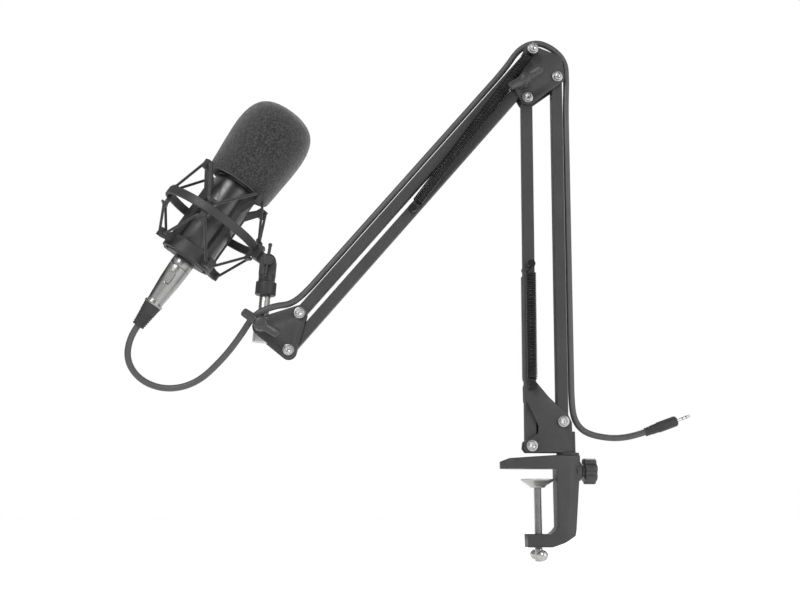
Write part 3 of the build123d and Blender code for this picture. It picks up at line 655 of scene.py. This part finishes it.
def braided(tint):
    """Two sets of yarns crossing on a cord's own map, with painted shade in the grooves between them and
    painted highlights on their crests.
    """
    f = Finish("braided_elastic", Specular_IOR_Level=0.25, Sheen_Weight=0.3)
    split = f.node("ShaderNodeSeparateXYZ")
    f.put(f.uv, split.inputs[0])
    yarns_round, yarns_per_metre = 4.0, 420.0
    turns = f.math("MULTIPLY", split.outputs[0], yarns_round)
    rise = f.math("MULTIPLY", split.outputs[1], yarns_per_metre)
    left, right = (f.math("SINE", f.math("MULTIPLY", f.math(way, turns, rise), 2 * pi))
                   for way in ("ADD", "SUBTRACT"))
    yarn = f.math("MAXIMUM", left, right)
    # painted shade and highlight: the yarns' colour runs from dark in the grooves to pale on the crests,
    # following their height
    height = f.spread(yarn, 0.0, 1.0, -0.4, 1.0)
    f.paint(f.shades(height, (0.0, lighter(tint, 0.4)), (1.0, lighter(tint, 2.0))))
    f.worn(900, 2.0, 0.62, 0.8)
    f.bump(yarn, 0.00025, 0.8)
    return f.material


def woven_wire(tint, place):
    f = Finish("woven_wire", place, Metallic=0.8)
    across, round_it, deep = (f.ridges(900, way) for way in "XZY")
    wires = f.math("MAXIMUM", f.math("MULTIPLY", across, deep), round_it)
    # painted shade: the gaps between the wires are painted near-black, as the shade seen through the mesh's
    # holes
    f.paint(f.shades(wires, (0.35, (0.002, 0.002, 0.002)), (0.6, tint)))
    f.worn(700, 2.0, 0.32, 0.48)
    f.bump(wires, 0.0004, 0.9)
    return f.material


def solder_mask(tint, place):
    f = Finish("solder_mask", place, Coat_Weight=0.4)
    traces = f.ridges(420, "X", distortion=3.0)
    pads = f.cells(260)
    copper = f.mixed(f.spread(traces, 0.0, 1.0, 0.8, 0.95), tint, lighter(tint, 1.9))
    f.paint(f.mixed(f.spread(pads, 1.0, 0.0, 0.1, 0.16), copper, (0.42, 0.40, 0.36)))
    f.worn(500, 2.0, 0.3, 0.45)
    f.bump(traces, 0.00006, 0.5)
    return f.material


def jack_metal(tint, place):
    """Plated jack pin with two dark insulating rings, placed along the jack's own axis."""
    f = Finish("jack_metal", place, Metallic=0.9)
    split = f.node("ShaderNodeSeparateXYZ")
    f.put(f.where, split.inputs[0])
    along = f.spread(split.outputs[2], 0.0, 1.0, 20 * MM, 34.6 * MM)
    ink = (0.01, 0.01, 0.01)
    f.paint(f.shades(along, (0.0, tint), (0.34, ink), (0.39, tint), (0.62, ink), (0.67, tint), constant=True))
    f.worn(900, 2.0, 0.16, 0.3)
    f.grain(1500, 2.0, 0.00003, 0.4)
    return f.material


FINISHES = {}


class MIC_OT_finishes(bpy.types.Operator):
    """Mixes every finish of the microphone and its arm"""
    bl_idname = "mic.finishes"
    bl_label = "Mix the finishes"

    def execute(self, context):
        s = context.scene.mic_finish
        level = standing(Vector((0, 0, 0)), (0, 0, 1))
        FINISHES.update(
            powder=powder_coat(s.powder), cast=cast_enamel(s.powder), enamel=satin_enamel(s.enamel, MIC),
            nylon=moulded(s.moulded), knob=moulded(lighter(s.moulded, 1.7), "knob_plastic", (0.34, 0.46)),
            bolt=plated_steel(s.plated, "bolt_steel", level, (1500, 1500, 1500), (0.26, 0.38)),
            screw=plated_steel(lighter(s.plated, 0.85), "screw_steel", level, (120, 120, 2600), (0.28, 0.4)),
            post=plated_steel(lighter(s.plated, 0.8), "post_steel", POST, (120, 120, 3200), (0.3, 0.4)),
            shell=plated_steel(lighter(s.plated, 0.62), "shell_nickel", MIC, (150, 150, 4200), (0.26, 0.38)),
            lock=plated_steel(lighter(s.plated, 0.5), "lock_steel", level, (2600, 150, 150)),
            wire=oxide_wire(s.oxide), jacket=jacket(s.jacket), rubber=soft_rubber(s.rubber),
            foam=open_foam(s.foam), braid=braided(s.braid), grille=woven_wire(lighter(s.enamel, 6.0), MIC),
            board=solder_mask(s.mask, MIC), jack=jack_metal(s.plated, JACK),
        )
        return {"FINISHED"}


# ---- the cord ----
SIDE = 10.2                      # from an arm tube's axis to the cord clipped along its outside


def beside_upper(along, off=SIDE, y=0.0):
    return beside(END_TOP, UPPER_RUN, along, off, y)


def beside_lower(along):
    return beside(BASE_RIGHT, LOWER_RUN, along, -SIDE)


BOOT_END = tuple(MIC @ Vector((0, 0, -81 * MM)) / MM)
CORD_ROUTE = [
    BOOT_END, (-407.8, 0, 128.6), (-409.5, 0, 104), (-393.5, 0, 84), (-367, -1, 76), (-338.5, -2.5, 83.5),
    (-314, -5, 107.5), (-297.5, -8, 129.5), (-284, -11, 152), (-264, -10.8, 160.5),
    beside_upper(1.5, 12.6, -5.0), beside_upper(21), beside_upper(52), beside_upper(305),
    beside_upper(345), (-9, 0, 447.5), (10, 0, 456), (29, 0, 448), (41, 0, 433.5), (41.6, 0, 413),
    beside_lower(334), beside_lower(300), beside_lower(50), beside_lower(22),
    (38.6, 0, 50.5), (46.5, 0, 38.5), (61, 0, 32.8), (82.5, 0, 30.5), (104.5, 0, 34.5), (126.5, 0, 42.5),
]
# each stretch of the cord: its name, the bodies it goes from and to, and the point it runs to
CORD_STRETCHES = [
    ("cord_from_boot", "plug", "mic", (-407, 0, 98)),
    ("cord_loop_left", "mic", "ring", (-366, 0, 76.5)),
    ("cord_loop_right", "ring", "head", (-322, -4, 99)),
    ("cord_loop_rise", "head", "post", (-295.5, -8, 133.5)),
    ("cord_past_post", "post", "end", (-266, -10.8, 160)),
    ("cord_to_upper_tube", "end", "rod_top", beside_upper(52)),
    ("cord_along_upper_tube", "rod_top", None, beside_upper(328)),
    ("cord_over_elbow", "rod_top", "elbow", (10, 0, 454)),
    ("cord_down_elbow", "elbow", "rod_right", beside_lower(322)),
    ("cord_along_lower_tube", "rod_right", None, beside_lower(44)),
    ("cord_past_base", "rod_right", "base", (45, 0, 43)),
    ("cord_leaving_base", "base", "clamp", (86, 0, 31)),
    ("cord_tail", "clamp", None, (126.5, 0, 42.5)),
]
CORD_NODES = {
    "cord_from_boot": ["cable_loop"], "cord_past_post": ["cable_bracket"],
    "cord_along_upper_tube": ["cable_upper"], "cord_over_elbow": ["cable_elbow"],
    "cord_along_lower_tube": ["cable_lower"], "cord_tail": ["cable_tail"],
}


class MIC_OT_cord(bpy.types.Operator):
    """Lays the microphone's cord along its route, in stretches between the parts that carry it"""
    bl_idname = "mic.cord"
    bl_label = "Lay the cord"

    def execute(self, context):
        s = context.scene.mic_cord
        line = route([Vector(p) * MM for p in CORD_ROUTE], resolution=24)
        rings = hoops(line, s.diameter / 2, s.sides)
        along = lengths(line)
        start = 0
        for name, first, second, stop_at in CORD_STRETCHES:
            goal = Vector(stop_at) * MM
            stop = min(range(start + 2, len(line)), key=lambda k: (line[k] - goal).length)
            obj = skin(name, rings[start:stop + 1], along[start:stop + 1])
            declare(obj, name, None if second else first, "jacket", *CORD_NODES.get(name, []))
            if second:
                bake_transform(obj)
            start = stop
        return {"FINISHED"}


# ---- plugs ----
JACK_END = Vector(CORD_ROUTE[-1]) * MM
JACK = standing(JACK_END, Vector(CORD_ROUTE[-1]) - Vector(CORD_ROUTE[-2]))


class MIC_OT_plugs(bpy.types.Operator):
    """Models the microphone's cable plug with its boot, and the jack at the cord's far end"""
    bl_idname = "mic.plugs"
    bl_label = "Model the plugs"

    def execute(self, context):
        declare(softened("plug_shell", 0.2), "microphone_plug_shell", "plug", "shell", "plug_shell")

        neck, taper, first_rib, rib_step = -58.6, (8.7 - 6.2) / 22.4, -66.0, 2.4
        boot = [(9.0, -55.6), (9.0, -57.0), (8.7, neck)]
        for k in range(6):
            s = first_rib - rib_step * k
            r = 8.7 + (s - neck) * taper
            boot += [(r, s), (r - 0.55, s - 0.35), (r - 0.55, s - 1.0), (r - 0.1, s - 1.35)]
        boot += [(6.2, -80.4), (5.6, -81), (3.1, -81), (3.1, -60), (6.8, -55.6), boot[0]]
        declare(placed(turned(boot, 56, 0.15), MIC, 40), "cord_boot", "plug", "rubber", "plug_boot")

        sleeve = [(3.1, -16), (3.9, -16), (4.4, -15.4), (4.4, -14.2), (4, -13.9), (4, -12.9), (4.5, -12.6),
                  (4.5, -11.4), (4.1, -11.1), (4.1, -10.1), (4.6, -9.8), (4.9, -2), (5.4, -1.4), (5.4, 17.4),
                  (4.6, 19), (0, 19), (0, 0.2), (3.1, 0.2), (3.1, -16)]
        declare(placed(turned(sleeve, 48, 0.2), JACK, 40), "jack_sleeve", "clamp", "rubber", "jack_body")
        tip = [(0, 18.9), (3.2, 18.9), (3.2, 20), (1.75, 20), (1.75, 31.4), (1.25, 32.2), (1.7, 33),
               (1.3, 34), (0.5, 34.6), (0, 34.6)]
        declare(placed(turned(tip, 40, 0.08), JACK, 40), "jack_tip", "clamp", "jack", "jack_pin")
        return {"FINISHED"}


# ---- balance springs ----
SPRING_DEPTH = 14.0              # the springs of a pair lie this far each side of the arm's plane
SPRING_RADIUS = 5.5


def coil_line(place, radius, start, stop, pitch, eye, steps=14):
    """One wire: an eye round the pin, a neck, and close turns from start to stop along the frame's Z."""
    eye_points, eye_from, eye_turn = 24, -200, 290
    points = []
    for k in range(eye_points + 1):
        a = radians(eye_from + eye_turn * k / eye_points)
        points.append(Vector((eye * cos(a), 0.0, eye * sin(a))))
    points.append(Vector((radius * 0.35, 0.0, start * 0.72)))
    points.append(Vector((radius * 0.8, radius * 0.25, start - pitch * 0.45)))
    for k in range(ceil((stop - start) / pitch * steps) + 1):
        a = 2 * pi * k / steps
        points.append(Vector((radius * cos(a), radius * sin(a), start + pitch * k / steps)))
    return [place @ (p * MM) for p in points]


class MIC_OT_springs(bpy.types.Operator):
    """Winds the four balance springs and the coils that stretch out of their ends"""
    bl_idname = "mic.springs"
    bl_label = "Wind the springs"

    def execute(self, context):
        s = context.scene.mic_cord
        lower_pin, anchor = pivot("lower_spring_swing"), pivot("lower_hook_swing")
        upper_pin = pivot("upper_spring_swing")
        inner = SPRING_RADIUS - 0.35
        # body, its pin, the pin it points to, turns from and to (below 0: short of the far pin), radii, node
        kinds = [
            ("lower_spring", lower_pin, anchor, 8.5, -9.5, SPRING_RADIUS, 3.5, "lower_springs"),
            ("lower_hook", anchor, lower_pin, 7.5, 58.0, inner, 3.5, "lower_spring_hooks"),
            ("upper_spring", upper_pin, ELBOW_TOP, 8.5, -42.0, SPRING_RADIUS, 3.5, "upper_springs"),
            ("upper_hook", ELBOW_TOP, upper_pin, 8.0, 56.0, inner, 4.0, "upper_spring_hooks"),
        ]
        for body, pin, towards, start, stop, radius, eye, node in kinds:
            if stop < 0:
                stop += (towards - pin).length / MM
            for side, label in ((-1, "front"), (1, "back")):
                place = standing(pin + Vector((0, side * SPRING_DEPTH * MM, 0)), towards - pin)
                line = coil_line(place, radius - s.wire / 2 / MM, start, stop, s.pitch / MM, eye)
                obj = tube(f"{body}_{label}", line, s.wire / 2, 7)
                declare(obj, f"{body}_{label}", body, "wire", node)
        return {"FINISHED"}


# ---- laced elastic ----
POST_RADIUS = 50.4
# each lacing: where it leaves the posts, the clips' radius and place along the body, and the way it rises
LACINGS = {"elastic_upper": (58.0, 44.0, 90.7, 1.0), "elastic_lower": (37.0, 40.0, 7.5, -1.0)}


def lacing(post_along, clip_radius, clip_along, lift):
    """The closed route of a cord laced from post to clip all round, in the microphone's frame."""
    def turned_to(x, y, z, degrees):
        a = radians(degrees)
        return Vector((x * cos(a) - y * sin(a), x * sin(a) + y * cos(a), z))

    corners = []
    tail = post_along - lift * 1.2
    loop = ((0.5, -5.0, post_along), (4.0, -2.4, tail), (4.0, 2.4, tail), (0.5, 5.0, post_along))
    for k in range(4):
        corners.append([turned_to(POST_RADIUS + out, y, z, 90 * k) for out, y, z in loop])
        corners.append([turned_to(clip_radius, y, clip_along, 90 * k + 45) for y in (-5.4, -3.4, 3.4, 5.4)])
    points = []
    for corner, following in zip(corners, corners[1:] + corners[:1]):
        run = following[0] - corner[-1]
        points += corner + [corner[-1] + run * 0.1, following[0] - run * 0.1]
    return [MIC @ (p * MM) for p in points]


class MIC_OT_elastics(bpy.types.Operator):
    """Laces the braided elastic cord between the shock ring's posts and the cage's clips"""
    bl_idname = "mic.elastics"
    bl_label = "Lace the elastic"

    def execute(self, context):
        radius = context.scene.mic_cord.elastic / 2
        for name, (post, clip_radius, clip, lift) in LACINGS.items():
            line = route(lacing(post, clip_radius, clip, lift), closed=True, resolution=6)
            obj = tube(name, line, radius, 10, closed=True)
            declare(obj, name, None, "braid", "elastic_cords")
            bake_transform(obj)
        return {"FINISHED"}


# ---- microphone ----
class MIC_OT_windscreen(bpy.types.Operator):
    """Shapes the foam windscreen and raises its cells"""
    bl_idname = "mic.windscreen"
    bl_label = "Shape the windscreen"

    def execute(self, context):
        s = context.scene.mic_foam
        outline = [(26.2, 92.9), (34.6, 92.9), (36, 94.2), (36.9, 102), (38.3, 119), (40.1, 139), (40.5, 153),
                   (38.9, 167.5), (34, 179.2), (25.5, 185.8), (14, 188.9), (0, 189.2), (0, 160.2),
                   (20, 159.6), (26.2, 156), (26.2, 92.9)]
        foam = turned(outline, 40)
        modify(foam, "SUBSURF", levels=3, render_levels=3)
        settle(foam, MIC)
        cells = bpy.data.textures.new("foam_cells", "CLOUDS")
        cells.noise_scale = s.cell
        cells.noise_depth = 1
        modify(foam, "DISPLACE", texture=cells, texture_coords="LOCAL", strength=-s.grain, mid_level=0.0)
        declare(smooth(foam, 80), "foam_screen", "windscreen", "foam", "foam_windscreen")
        return {"FINISHED"}


class MIC_OT_body(bpy.types.Operator):
    """Turns the microphone's body, foot ring and grille"""
    bl_idname = "mic.body"
    bl_label = "Turn the body"

    def execute(self, context):
        body = [(22.5, 5.1), (23.4, 5.1), (24, 5.7), (24, 14), (23.65, 14.3), (23.65, 14.9), (24, 15.2),
                (24, 92), (23.6, 92.3), (23.6, 93), (24, 93.3), (24, 98), (22.5, 98), (22.5, 5.1)]
        declare(placed(turned(body, 96, 0.12), MIC, 35), "body_tube", "mic", "enamel", "mic_body")
        foot = [(9.6, 0), (20.6, 0), (21.4, 0.8), (21.4, 5), (22.4, 5), (22.4, 12), (16, 12),
                (16, 6), (9.6, 6), (9.6, 0)]
        declare(placed(turned(foot, 80, 0.25), MIC, 35), "foot_ring", "mic", "nylon", "mic_base_ring")
        grille = [(19, 98), (25, 98), (25, 100.6), (24.5, 101), (24.5, 143), (23.9, 147.4),
                  (22, 151.2), (18.6, 154.6), (13.4, 156.7), (7, 157.6), (0, 157.9), (0, 156.9),
                  (9.8, 156.6), (17.9, 153.6), (22.6, 148.5), (23.6, 142.6), (23.6, 99.4), (19, 99.4),
                  (19.0, 98.0)]
        declare(placed(turned(grille, 96, 0.1), MIC, 35), "wire_grille", "mic", "grille", "mic_grille")
        return {"FINISHED"}


# ---- head ----
class MIC_OT_head(bpy.types.Operator):
    """Models the knurled thread collar, the swivel post and the fork"""
    bl_idname = "mic.head"
    bl_label = "Model the head"

    def execute(self, context):
        low, high, bore, radius, teeth = 33.0, 47.0, 5.6, 10.1, 40
        grip = turned([(bore, low), (radius - 0.6, low), (radius, low + 0.7), (radius, high - 0.7),
                       (radius - 0.6, high), (bore, high), (bore, low)], teeth * 2)

        def tooth(face):
            flat = Vector((face.center.x, face.center.y))
            if flat.length <= (radius - 0.2) * MM or abs(face.normal.z) >= 0.2:
                return False
            return round(flat.angle_signed(Vector((1, 0))) / (pi / teeth) - 0.5) % 2 == 0

        edit(grip)
        pick_faces(grip, tooth)
        bpy.ops.mesh.extrude_faces_move(TRANSFORM_OT_shrink_fatten={"value": 0.38 * MM})
        leave()
        round_edges(grip, 0.1 * MM, 1, 35)
        declare(placed(grip, POST, 30), "knurled_collar", "head", "nylon", "thread_collar")
        declare(softened("fork", 0.45), "mount_fork", "head", "nylon", "fork")
        declare(softened("swivel_post", 0.3), "bright_post", "post", "post", "swivel_post")
        return {"FINISHED"}


# ---- clamp ----
class MIC_OT_clamp(bpy.types.Operator):
    """Models the desk clamp: casting, dished pad, threaded screw, tommy bar and lock knob"""
    bl_idname = "mic.clamp"
    bl_label = "Model the clamp"

    def execute(self, context):
        declare(softened("clamp_frame", 0.7, 3), "clamp_casting", "clamp", "cast", "clamp_frame")
        pad = [(0, -12.6), (9, -12.3), (13.6, -11.2), (15.6, -10.1), (16.3, -10), (16.5, -10.4),
               (16.2, -11.5), (13.4, -13.6), (10, -15.8), (7.9, -17.4), (7.3, -18.5), (4.4, -18.5),
               (4.4, -14.7), (0.0, -14.7)]
        declare(placed(turned(pad, 72, 0.18), None, 40), "dished_pad", "pad", "screw", "pressure_pad")

        pitch, root, crest, low, high = 1.25, 3.35, 3.95, -78.5, -18.0
        thread = drawn([(root, low), (crest, low + pitch * 0.42), (crest, low + pitch * 0.58),
                        (root, low + pitch)])
        leave()
        modify(thread, "SCREW", angle=2 * pi, screw_offset=pitch * MM, iterations=round((high - low) / pitch),
               steps=28, render_steps=28, use_merge_vertices=True, merge_threshold=0.001 * MM, axis="Z")
        tidy(thread, 0.002 * MM)
        shank = [(0, -90), (3.4, -90), (4, -89.3), (4, -78), (3.3, -77.2), (3.3, -17),
                 (3.9, -16), (3.9, -15.2), (0, -15.2)]
        screw = join(turned(shank, 48, 0.12), thread)
        declare(placed(screw, None, 32), "threaded_screw", "screw", "screw", "clamp_screw")

        ball, reach = 5.3, 19.0
        neck = 68 - 158 / 14              # where the bar leaves its balls, in degrees round them
        bar = turned(arc((0.0, -reach), ball, -90, neck, 13) + arc((0.0, reach), ball, -neck, 90, 13), 40)
        place = standing(Vector((0, 0, middle("tommy_bar").z)), (0, 0, 1)) @ Matrix.Rotation(-pi / 2, 4, "X")
        declare(placed(bar, place, 40), "tommy_bar_balls", "tommy", "bolt", "tommy_bar")
        declare(softened("lock_knob", 0.9, 3), "lobed_knob", "lock", "knob", "lock_knob")
        declare(softened("base_foot", 0.4), "swivel_foot", "base", "powder", "base_foot")
        return {"FINISHED"}


# ---- plates and fasteners ----
BOLT_RADIUS, WASHER_RADIUS, SPACER_RADIUS, WASHER = 3.0, 5.6, 4.6, 1.0
SPRING_SEAT = SPRING_DEPTH + 4.0      # where the elbow's long bolt has its washers
EYE_ROOM = 1.7                        # left each side of a spring's eye
GLIDE_SPAN = (5.9, 6.45)              # a glide washer's faces, from the arm's plane
PIVOTS = (("base", "left", BASE_LEFT, PLATE_OUT), ("base", "right", BASE_RIGHT, PLATE_OUT),
          ("elbow", "left", ELBOW_LEFT, PLATE_OUT), ("elbow", "right", ELBOW_RIGHT, PLATE_OUT),
          ("elbow", "top", ELBOW_TOP, SPRING_SEAT), ("elbow", "low", ELBOW_LOW, None),
          ("end", "upper", END_TOP, PLATE_OUT), ("end", "lower", END_LOW, PLATE_OUT))


def pivot_bolt(origin, seat):
    """A socket-head bolt with washers and a nut; its seats lie the same way in front and behind."""
    top = seat + WASHER
    head = turned([(0.0, top + 1.6), (1.3, top + 1.6), (2.5, top + 2.0), (2.5, top + 4.0), (3.9, top + 4.0),
                   (4.6, top + 3.3), (4.6, top), (BOLT_RADIUS, top), (BOLT_RADIUS, -seat - 5.2),
                   (0.0, -seat - 5.2)], 40, 0.15)
    front = collar(BOLT_RADIUS, WASHER_RADIUS, seat, top)
    rear = collar(BOLT_RADIUS, WASHER_RADIUS, -top, -seat)
    nut = hexagon(9.0, -seat - 4.6, -top)
    return settle(smooth(join(head, front, rear, nut), 32), through(origin))


def glide(origin):
    """Two nylon glide washers between a tube's end and the plates."""
    low, high = GLIDE_SPAN
    rings = [collar(BOLT_RADIUS, WASHER_RADIUS, a, b, 32, 0.0) for a, b in ((-high, -low), (low, high))]
    return settle(smooth(join(*rings), 35), through(origin))


class MIC_OT_plates(bpy.types.Operator):
    """Rolls the edges of the bracket plates and fits their bolts and glide washers"""
    bl_idname = "mic.plates"
    bl_label = "Fit the plates and bolts"

    def execute(self, context):
        for body in ("base", "elbow", "end"):
            declare(softened(f"{body}_plates"), f"{body}_bracket_plates", body, "powder", f"{body}_plates")
        for body, where, origin, seat in PIVOTS:
            if seat:
                name = "spring" if seat == SPRING_SEAT else where
                declare(pivot_bolt(origin, seat), f"{body}_bolt_{name}", body, "bolt", f"{body}_fasteners")
            declare(glide(origin), f"{body}_glides_{where}", body, "nylon", f"{body}_fasteners")
        near, far = SPRING_DEPTH - EYE_ROOM, SPRING_DEPTH + EYE_ROOM
        spacers = [collar(BOLT_RADIUS, SPACER_RADIUS, a, b, 36)
                   for a, b in ((PLATE_OUT, near), (far, SPRING_SEAT),
                                (-near, -PLATE_OUT), (-SPRING_SEAT, -far))]
        spacers = settle(smooth(join(*spacers), 35), through(ELBOW_TOP))
        declare(spacers, "elbow_spring_spacers", "elbow", "wire", "elbow_fasteners", slot="bright_steel")
        return {"FINISHED"}


# ---- wing nuts ----
WING_SEAT = 21.0                 # a wing nut's foot, from the arm's plane


def wing_nut(reach, hub):
    """A moulded wing nut on Z: a domed hub and two paddles along X, fused with soft fillets."""
    bore, depth, dome = 3.1, 7.0, 4.4
    crown = arc((hub - dome, 6.8), dome, 10, 80, 6)
    core = turned([(bore, 0), (hub - 0.4, 0), (hub, 0.5), (hub, 6.8), *crown, (0, 11.4), (0, depth),
                   (bore, depth), (bore, 0)], 48)
    paddles = []
    for way in (1, -1):
        deselect()
        bpy.ops.mesh.primitive_cube_add(size=1.0, location=(way * 4.0 * MM, 0, 6.2 * MM),
                                        scale=(4.0 * MM, 11.0 * MM, 7.0 * MM))
        paddle = bpy.context.object
        settle(paddle)
        edit(paddle)
        pick_faces(paddle, lambda f: f.normal.x * way > 0.9)
        for share, grow, lift in ((0.32, 0.92, 1.2), (0.34, 0.96, 1.4), (0.14, 0.86, 0.2)):
            bpy.ops.mesh.extrude_region_move(
                TRANSFORM_OT_translate={"value": (way * reach * share * MM, 0, lift * MM)})
            bpy.ops.transform.resize(value=(1.0, grow, grow))
        leave()
        paddles.append(modify(paddle, "SUBSURF", levels=3, render_levels=3))
    nut = join(core, *paddles)
    modify(nut, "REMESH", mode="VOXEL", voxel_size=0.42 * MM, adaptivity=0.0)
    return modify(nut, "SMOOTH", factor=0.5, iterations=7)


class MIC_OT_wing_nuts(bpy.types.Operator):
    """Moulds the two wing nuts that lock the elbow and the head"""
    bl_idname = "mic.wing_nuts"
    bl_label = "Mould the wing nuts"

    def execute(self, context):
        for body, origin, angle, reach, hub in (("elbow_wing", ELBOW_LOW, 32, 18.5, 6.6),
                                                ("end_wing", TILT_KNOB, -32, 19.5, 7.6)):
            place = through(origin) @ Matrix.Translation((0, 0, WING_SEAT * MM)) @ Matrix.Rotation(
                radians(angle), 4, "Z")
            declare(placed(wing_nut(reach, hub), place, 60), f"{body}_grip", body, "knob", f"{body}_nut")
        return {"FINISHED"}


# ---- CAD pieces that keep their own shape ----
KEPT = {
    "powder": ["lower_rod_left", "lower_rod_right", "upper_rod_top", "upper_rod_bottom"],
    "nylon": ["lower_rod_left_caps", "lower_rod_right_caps", "upper_rod_top_caps", "upper_rod_bottom_caps",
              "shock_ring", "cage", "tilt_lever", "swivel_washer", "plug_insert", "xlr_inlet"],
    "wire": ["lower_spring_pin", "upper_spring_pin", "spring_anchors"],
    "bolt": ["elbow_clamp_bolt", "end_clamp_bolt", "capsule"],
    "lock": ["lock_screw"], "shell": ["plug_latch"], "board": ["circuit_board"],
}


class MIC_OT_kept(bpy.types.Operator):
    """Gives their finish to the CAD pieces that keep their own shape"""
    bl_idname = "mic.kept"
    bl_label = "Finish the kept pieces"

    def execute(self, context):
        for finish, names in KEPT.items():
            for name in names:
                data = frame["nodes"][name].data
                data.materials.clear()
                data.materials.append(FINISHES[finish])
        return {"FINISHED"}


# ---- stage ----
LAMPS = (("key", (-0.9, -1.5, 1.3), 0.9, 1.0), ("fill", (1.2, -1.4, 0.5), 1.2, 0.45),
         ("rim", (0.4, 1.4, 1.2), 1.0, 0.6))          # name, place, width and share of the key's power
CAMERA_AT = (-0.21499, -1.11054, -0.04609)
CAMERA_TURN = (radians(101), 0, radians(-4))


class MIC_OT_stage(bpy.types.Operator):
    """Sets the pale floor, the white surround, the soft lights and the camera"""
    bl_idname = "mic.stage"
    bl_label = "Set the stage"

    def execute(self, context):
        s = context.scene.mic_stage
        scene = context.scene
        scene.view_settings.view_transform = "Standard"
        deselect()
        bpy.ops.mesh.primitive_plane_add(size=30.0, location=(0, 0, LOWEST - s.floor_drop))
        floor = bpy.context.object
        floor.name = "floor"
        pale = Finish("pale_floor", Roughness=0.9, Specular_IOR_Level=0.1, Emission_Strength=s.floor_glow)
        pale.shader.inputs["Emission Color"].default_value = (1.0, 1.0, 1.0, 1.0)
        pale.paint(pale.shades(pale.noise(3.0, 2.0), (0.3, (0.93, 0.93, 0.93)), (0.7, (0.96, 0.96, 0.96))))
        floor.data.materials.append(pale.material)

        world = bpy.data.worlds.new("surround")
        scene.world = world
        world.use_nodes = True
        nodes, links = world.node_tree.nodes, world.node_tree.links
        sky = nodes["Background"]
        sky.inputs["Color"].default_value = (1.0, 1.0, 1.0, 1.0)
        sky.inputs["Strength"].default_value = s.sky
        where, turn, bands, tones, room, rays, either = (nodes.new("ShaderNode" + kind) for kind in (
            "TexCoord", "Mapping", "TexWave", "ValToRGB", "Background", "LightPath", "MixShader"))
        room.inputs["Strength"].default_value = s.room
        turn.inputs["Rotation"].default_value = (0.0, radians(25), radians(20))
        bands.inputs["Scale"].default_value = 0.55
        bands.inputs["Distortion"].default_value = 1.5
        for element, position, grey in zip(tones.color_ramp.elements, (0.3, 0.75), (0.04, 1.0)):
            element.position = position
            element.color = (grey, grey, grey, 1.0)
        for giver, taker in ((where.outputs["Generated"], turn.inputs["Vector"]),
                             (turn.outputs["Vector"], bands.inputs["Vector"]),
                             (bands.outputs["Fac"], tones.inputs["Fac"]),
                             (tones.outputs["Color"], room.inputs["Color"]),
                             (rays.outputs["Is Camera Ray"], either.inputs[0]),
                             (room.outputs["Background"], either.inputs[1]),
                             (sky.outputs["Background"], either.inputs[2]),
                             (either.outputs["Shader"], nodes["World Output"].inputs["Surface"])):
            links.new(giver, taker)

        look_at = Vector((-0.12, 0.0, 0.18))
        for name, where, side, share in LAMPS:
            deselect()
            bpy.ops.object.light_add(type="AREA", location=where)
            lamp = bpy.context.object
            lamp.name = name
            lamp.data.shape = "DISK"
            lamp.data.size = side
            lamp.data.energy = s.key * share
            lamp.rotation_euler = (look_at - Vector(where)).to_track_quat("-Z", "Y").to_euler()

        deselect()
        bpy.ops.object.camera_add(location=CAMERA_AT, rotation=CAMERA_TURN)
        camera = bpy.context.object
        camera.name = "camera"
        camera.data.lens = s.lens
        camera.data.clip_start = 0.01
        scene.camera = camera
        return {"FINISHED"}


# ---- add-on ----
STEPS = (MIC_OT_finishes, MIC_OT_stage, MIC_OT_plugs, MIC_OT_cord, MIC_OT_springs, MIC_OT_elastics,
         MIC_OT_windscreen, MIC_OT_body, MIC_OT_head, MIC_OT_clamp, MIC_OT_plates, MIC_OT_wing_nuts,
         MIC_OT_kept)


class MIC_PT_panel(bpy.types.Panel):
    """Lists the microphone's settings and the steps that build it"""
    bl_idname = "MIC_PT_panel"
    bl_label = "Microphone"
    bl_space_type = "VIEW_3D"
    bl_region_type = "UI"
    bl_category = "Microphone"

    def draw(self, context):
        for group in (getattr(context.scene, name) for name in GROUPS):
            box = self.layout.box()
            for name in group.bl_rna.properties.keys():
                if name not in ("rna_type", "name"):
                    box.prop(group, name)
        for step in STEPS:
            self.layout.operator(step.bl_idname)


GROUPS = {"mic_finish": FinishSettings, "mic_cord": CordSettings, "mic_foam": FoamSettings,
          "mic_stage": StageSettings}


def register():
    for cls in (*GROUPS.values(), *STEPS, MIC_PT_panel):
        bpy.utils.register_class(cls)
    for name, cls in GROUPS.items():
        setattr(bpy.types.Scene, name, PointerProperty(type=cls))


def unregister():
    for name in GROUPS:
        delattr(bpy.types.Scene, name)
    for cls in reversed((*GROUPS.values(), *STEPS, MIC_PT_panel)):
        bpy.utils.unregister_class(cls)


def main():
    register()
    bpy.ops.mic.finishes()
    bpy.ops.mic.stage()
    bpy.ops.mic.plugs()
    bpy.ops.mic.cord()
    bpy.ops.mic.springs()
    bpy.ops.mic.elastics()
    bpy.ops.mic.windscreen()
    bpy.ops.mic.body()
    bpy.ops.mic.head()
    bpy.ops.mic.clamp()
    bpy.ops.mic.plates()
    bpy.ops.mic.wing_nuts()
    bpy.ops.mic.kept()


if __name__ == "__main__":
    main()
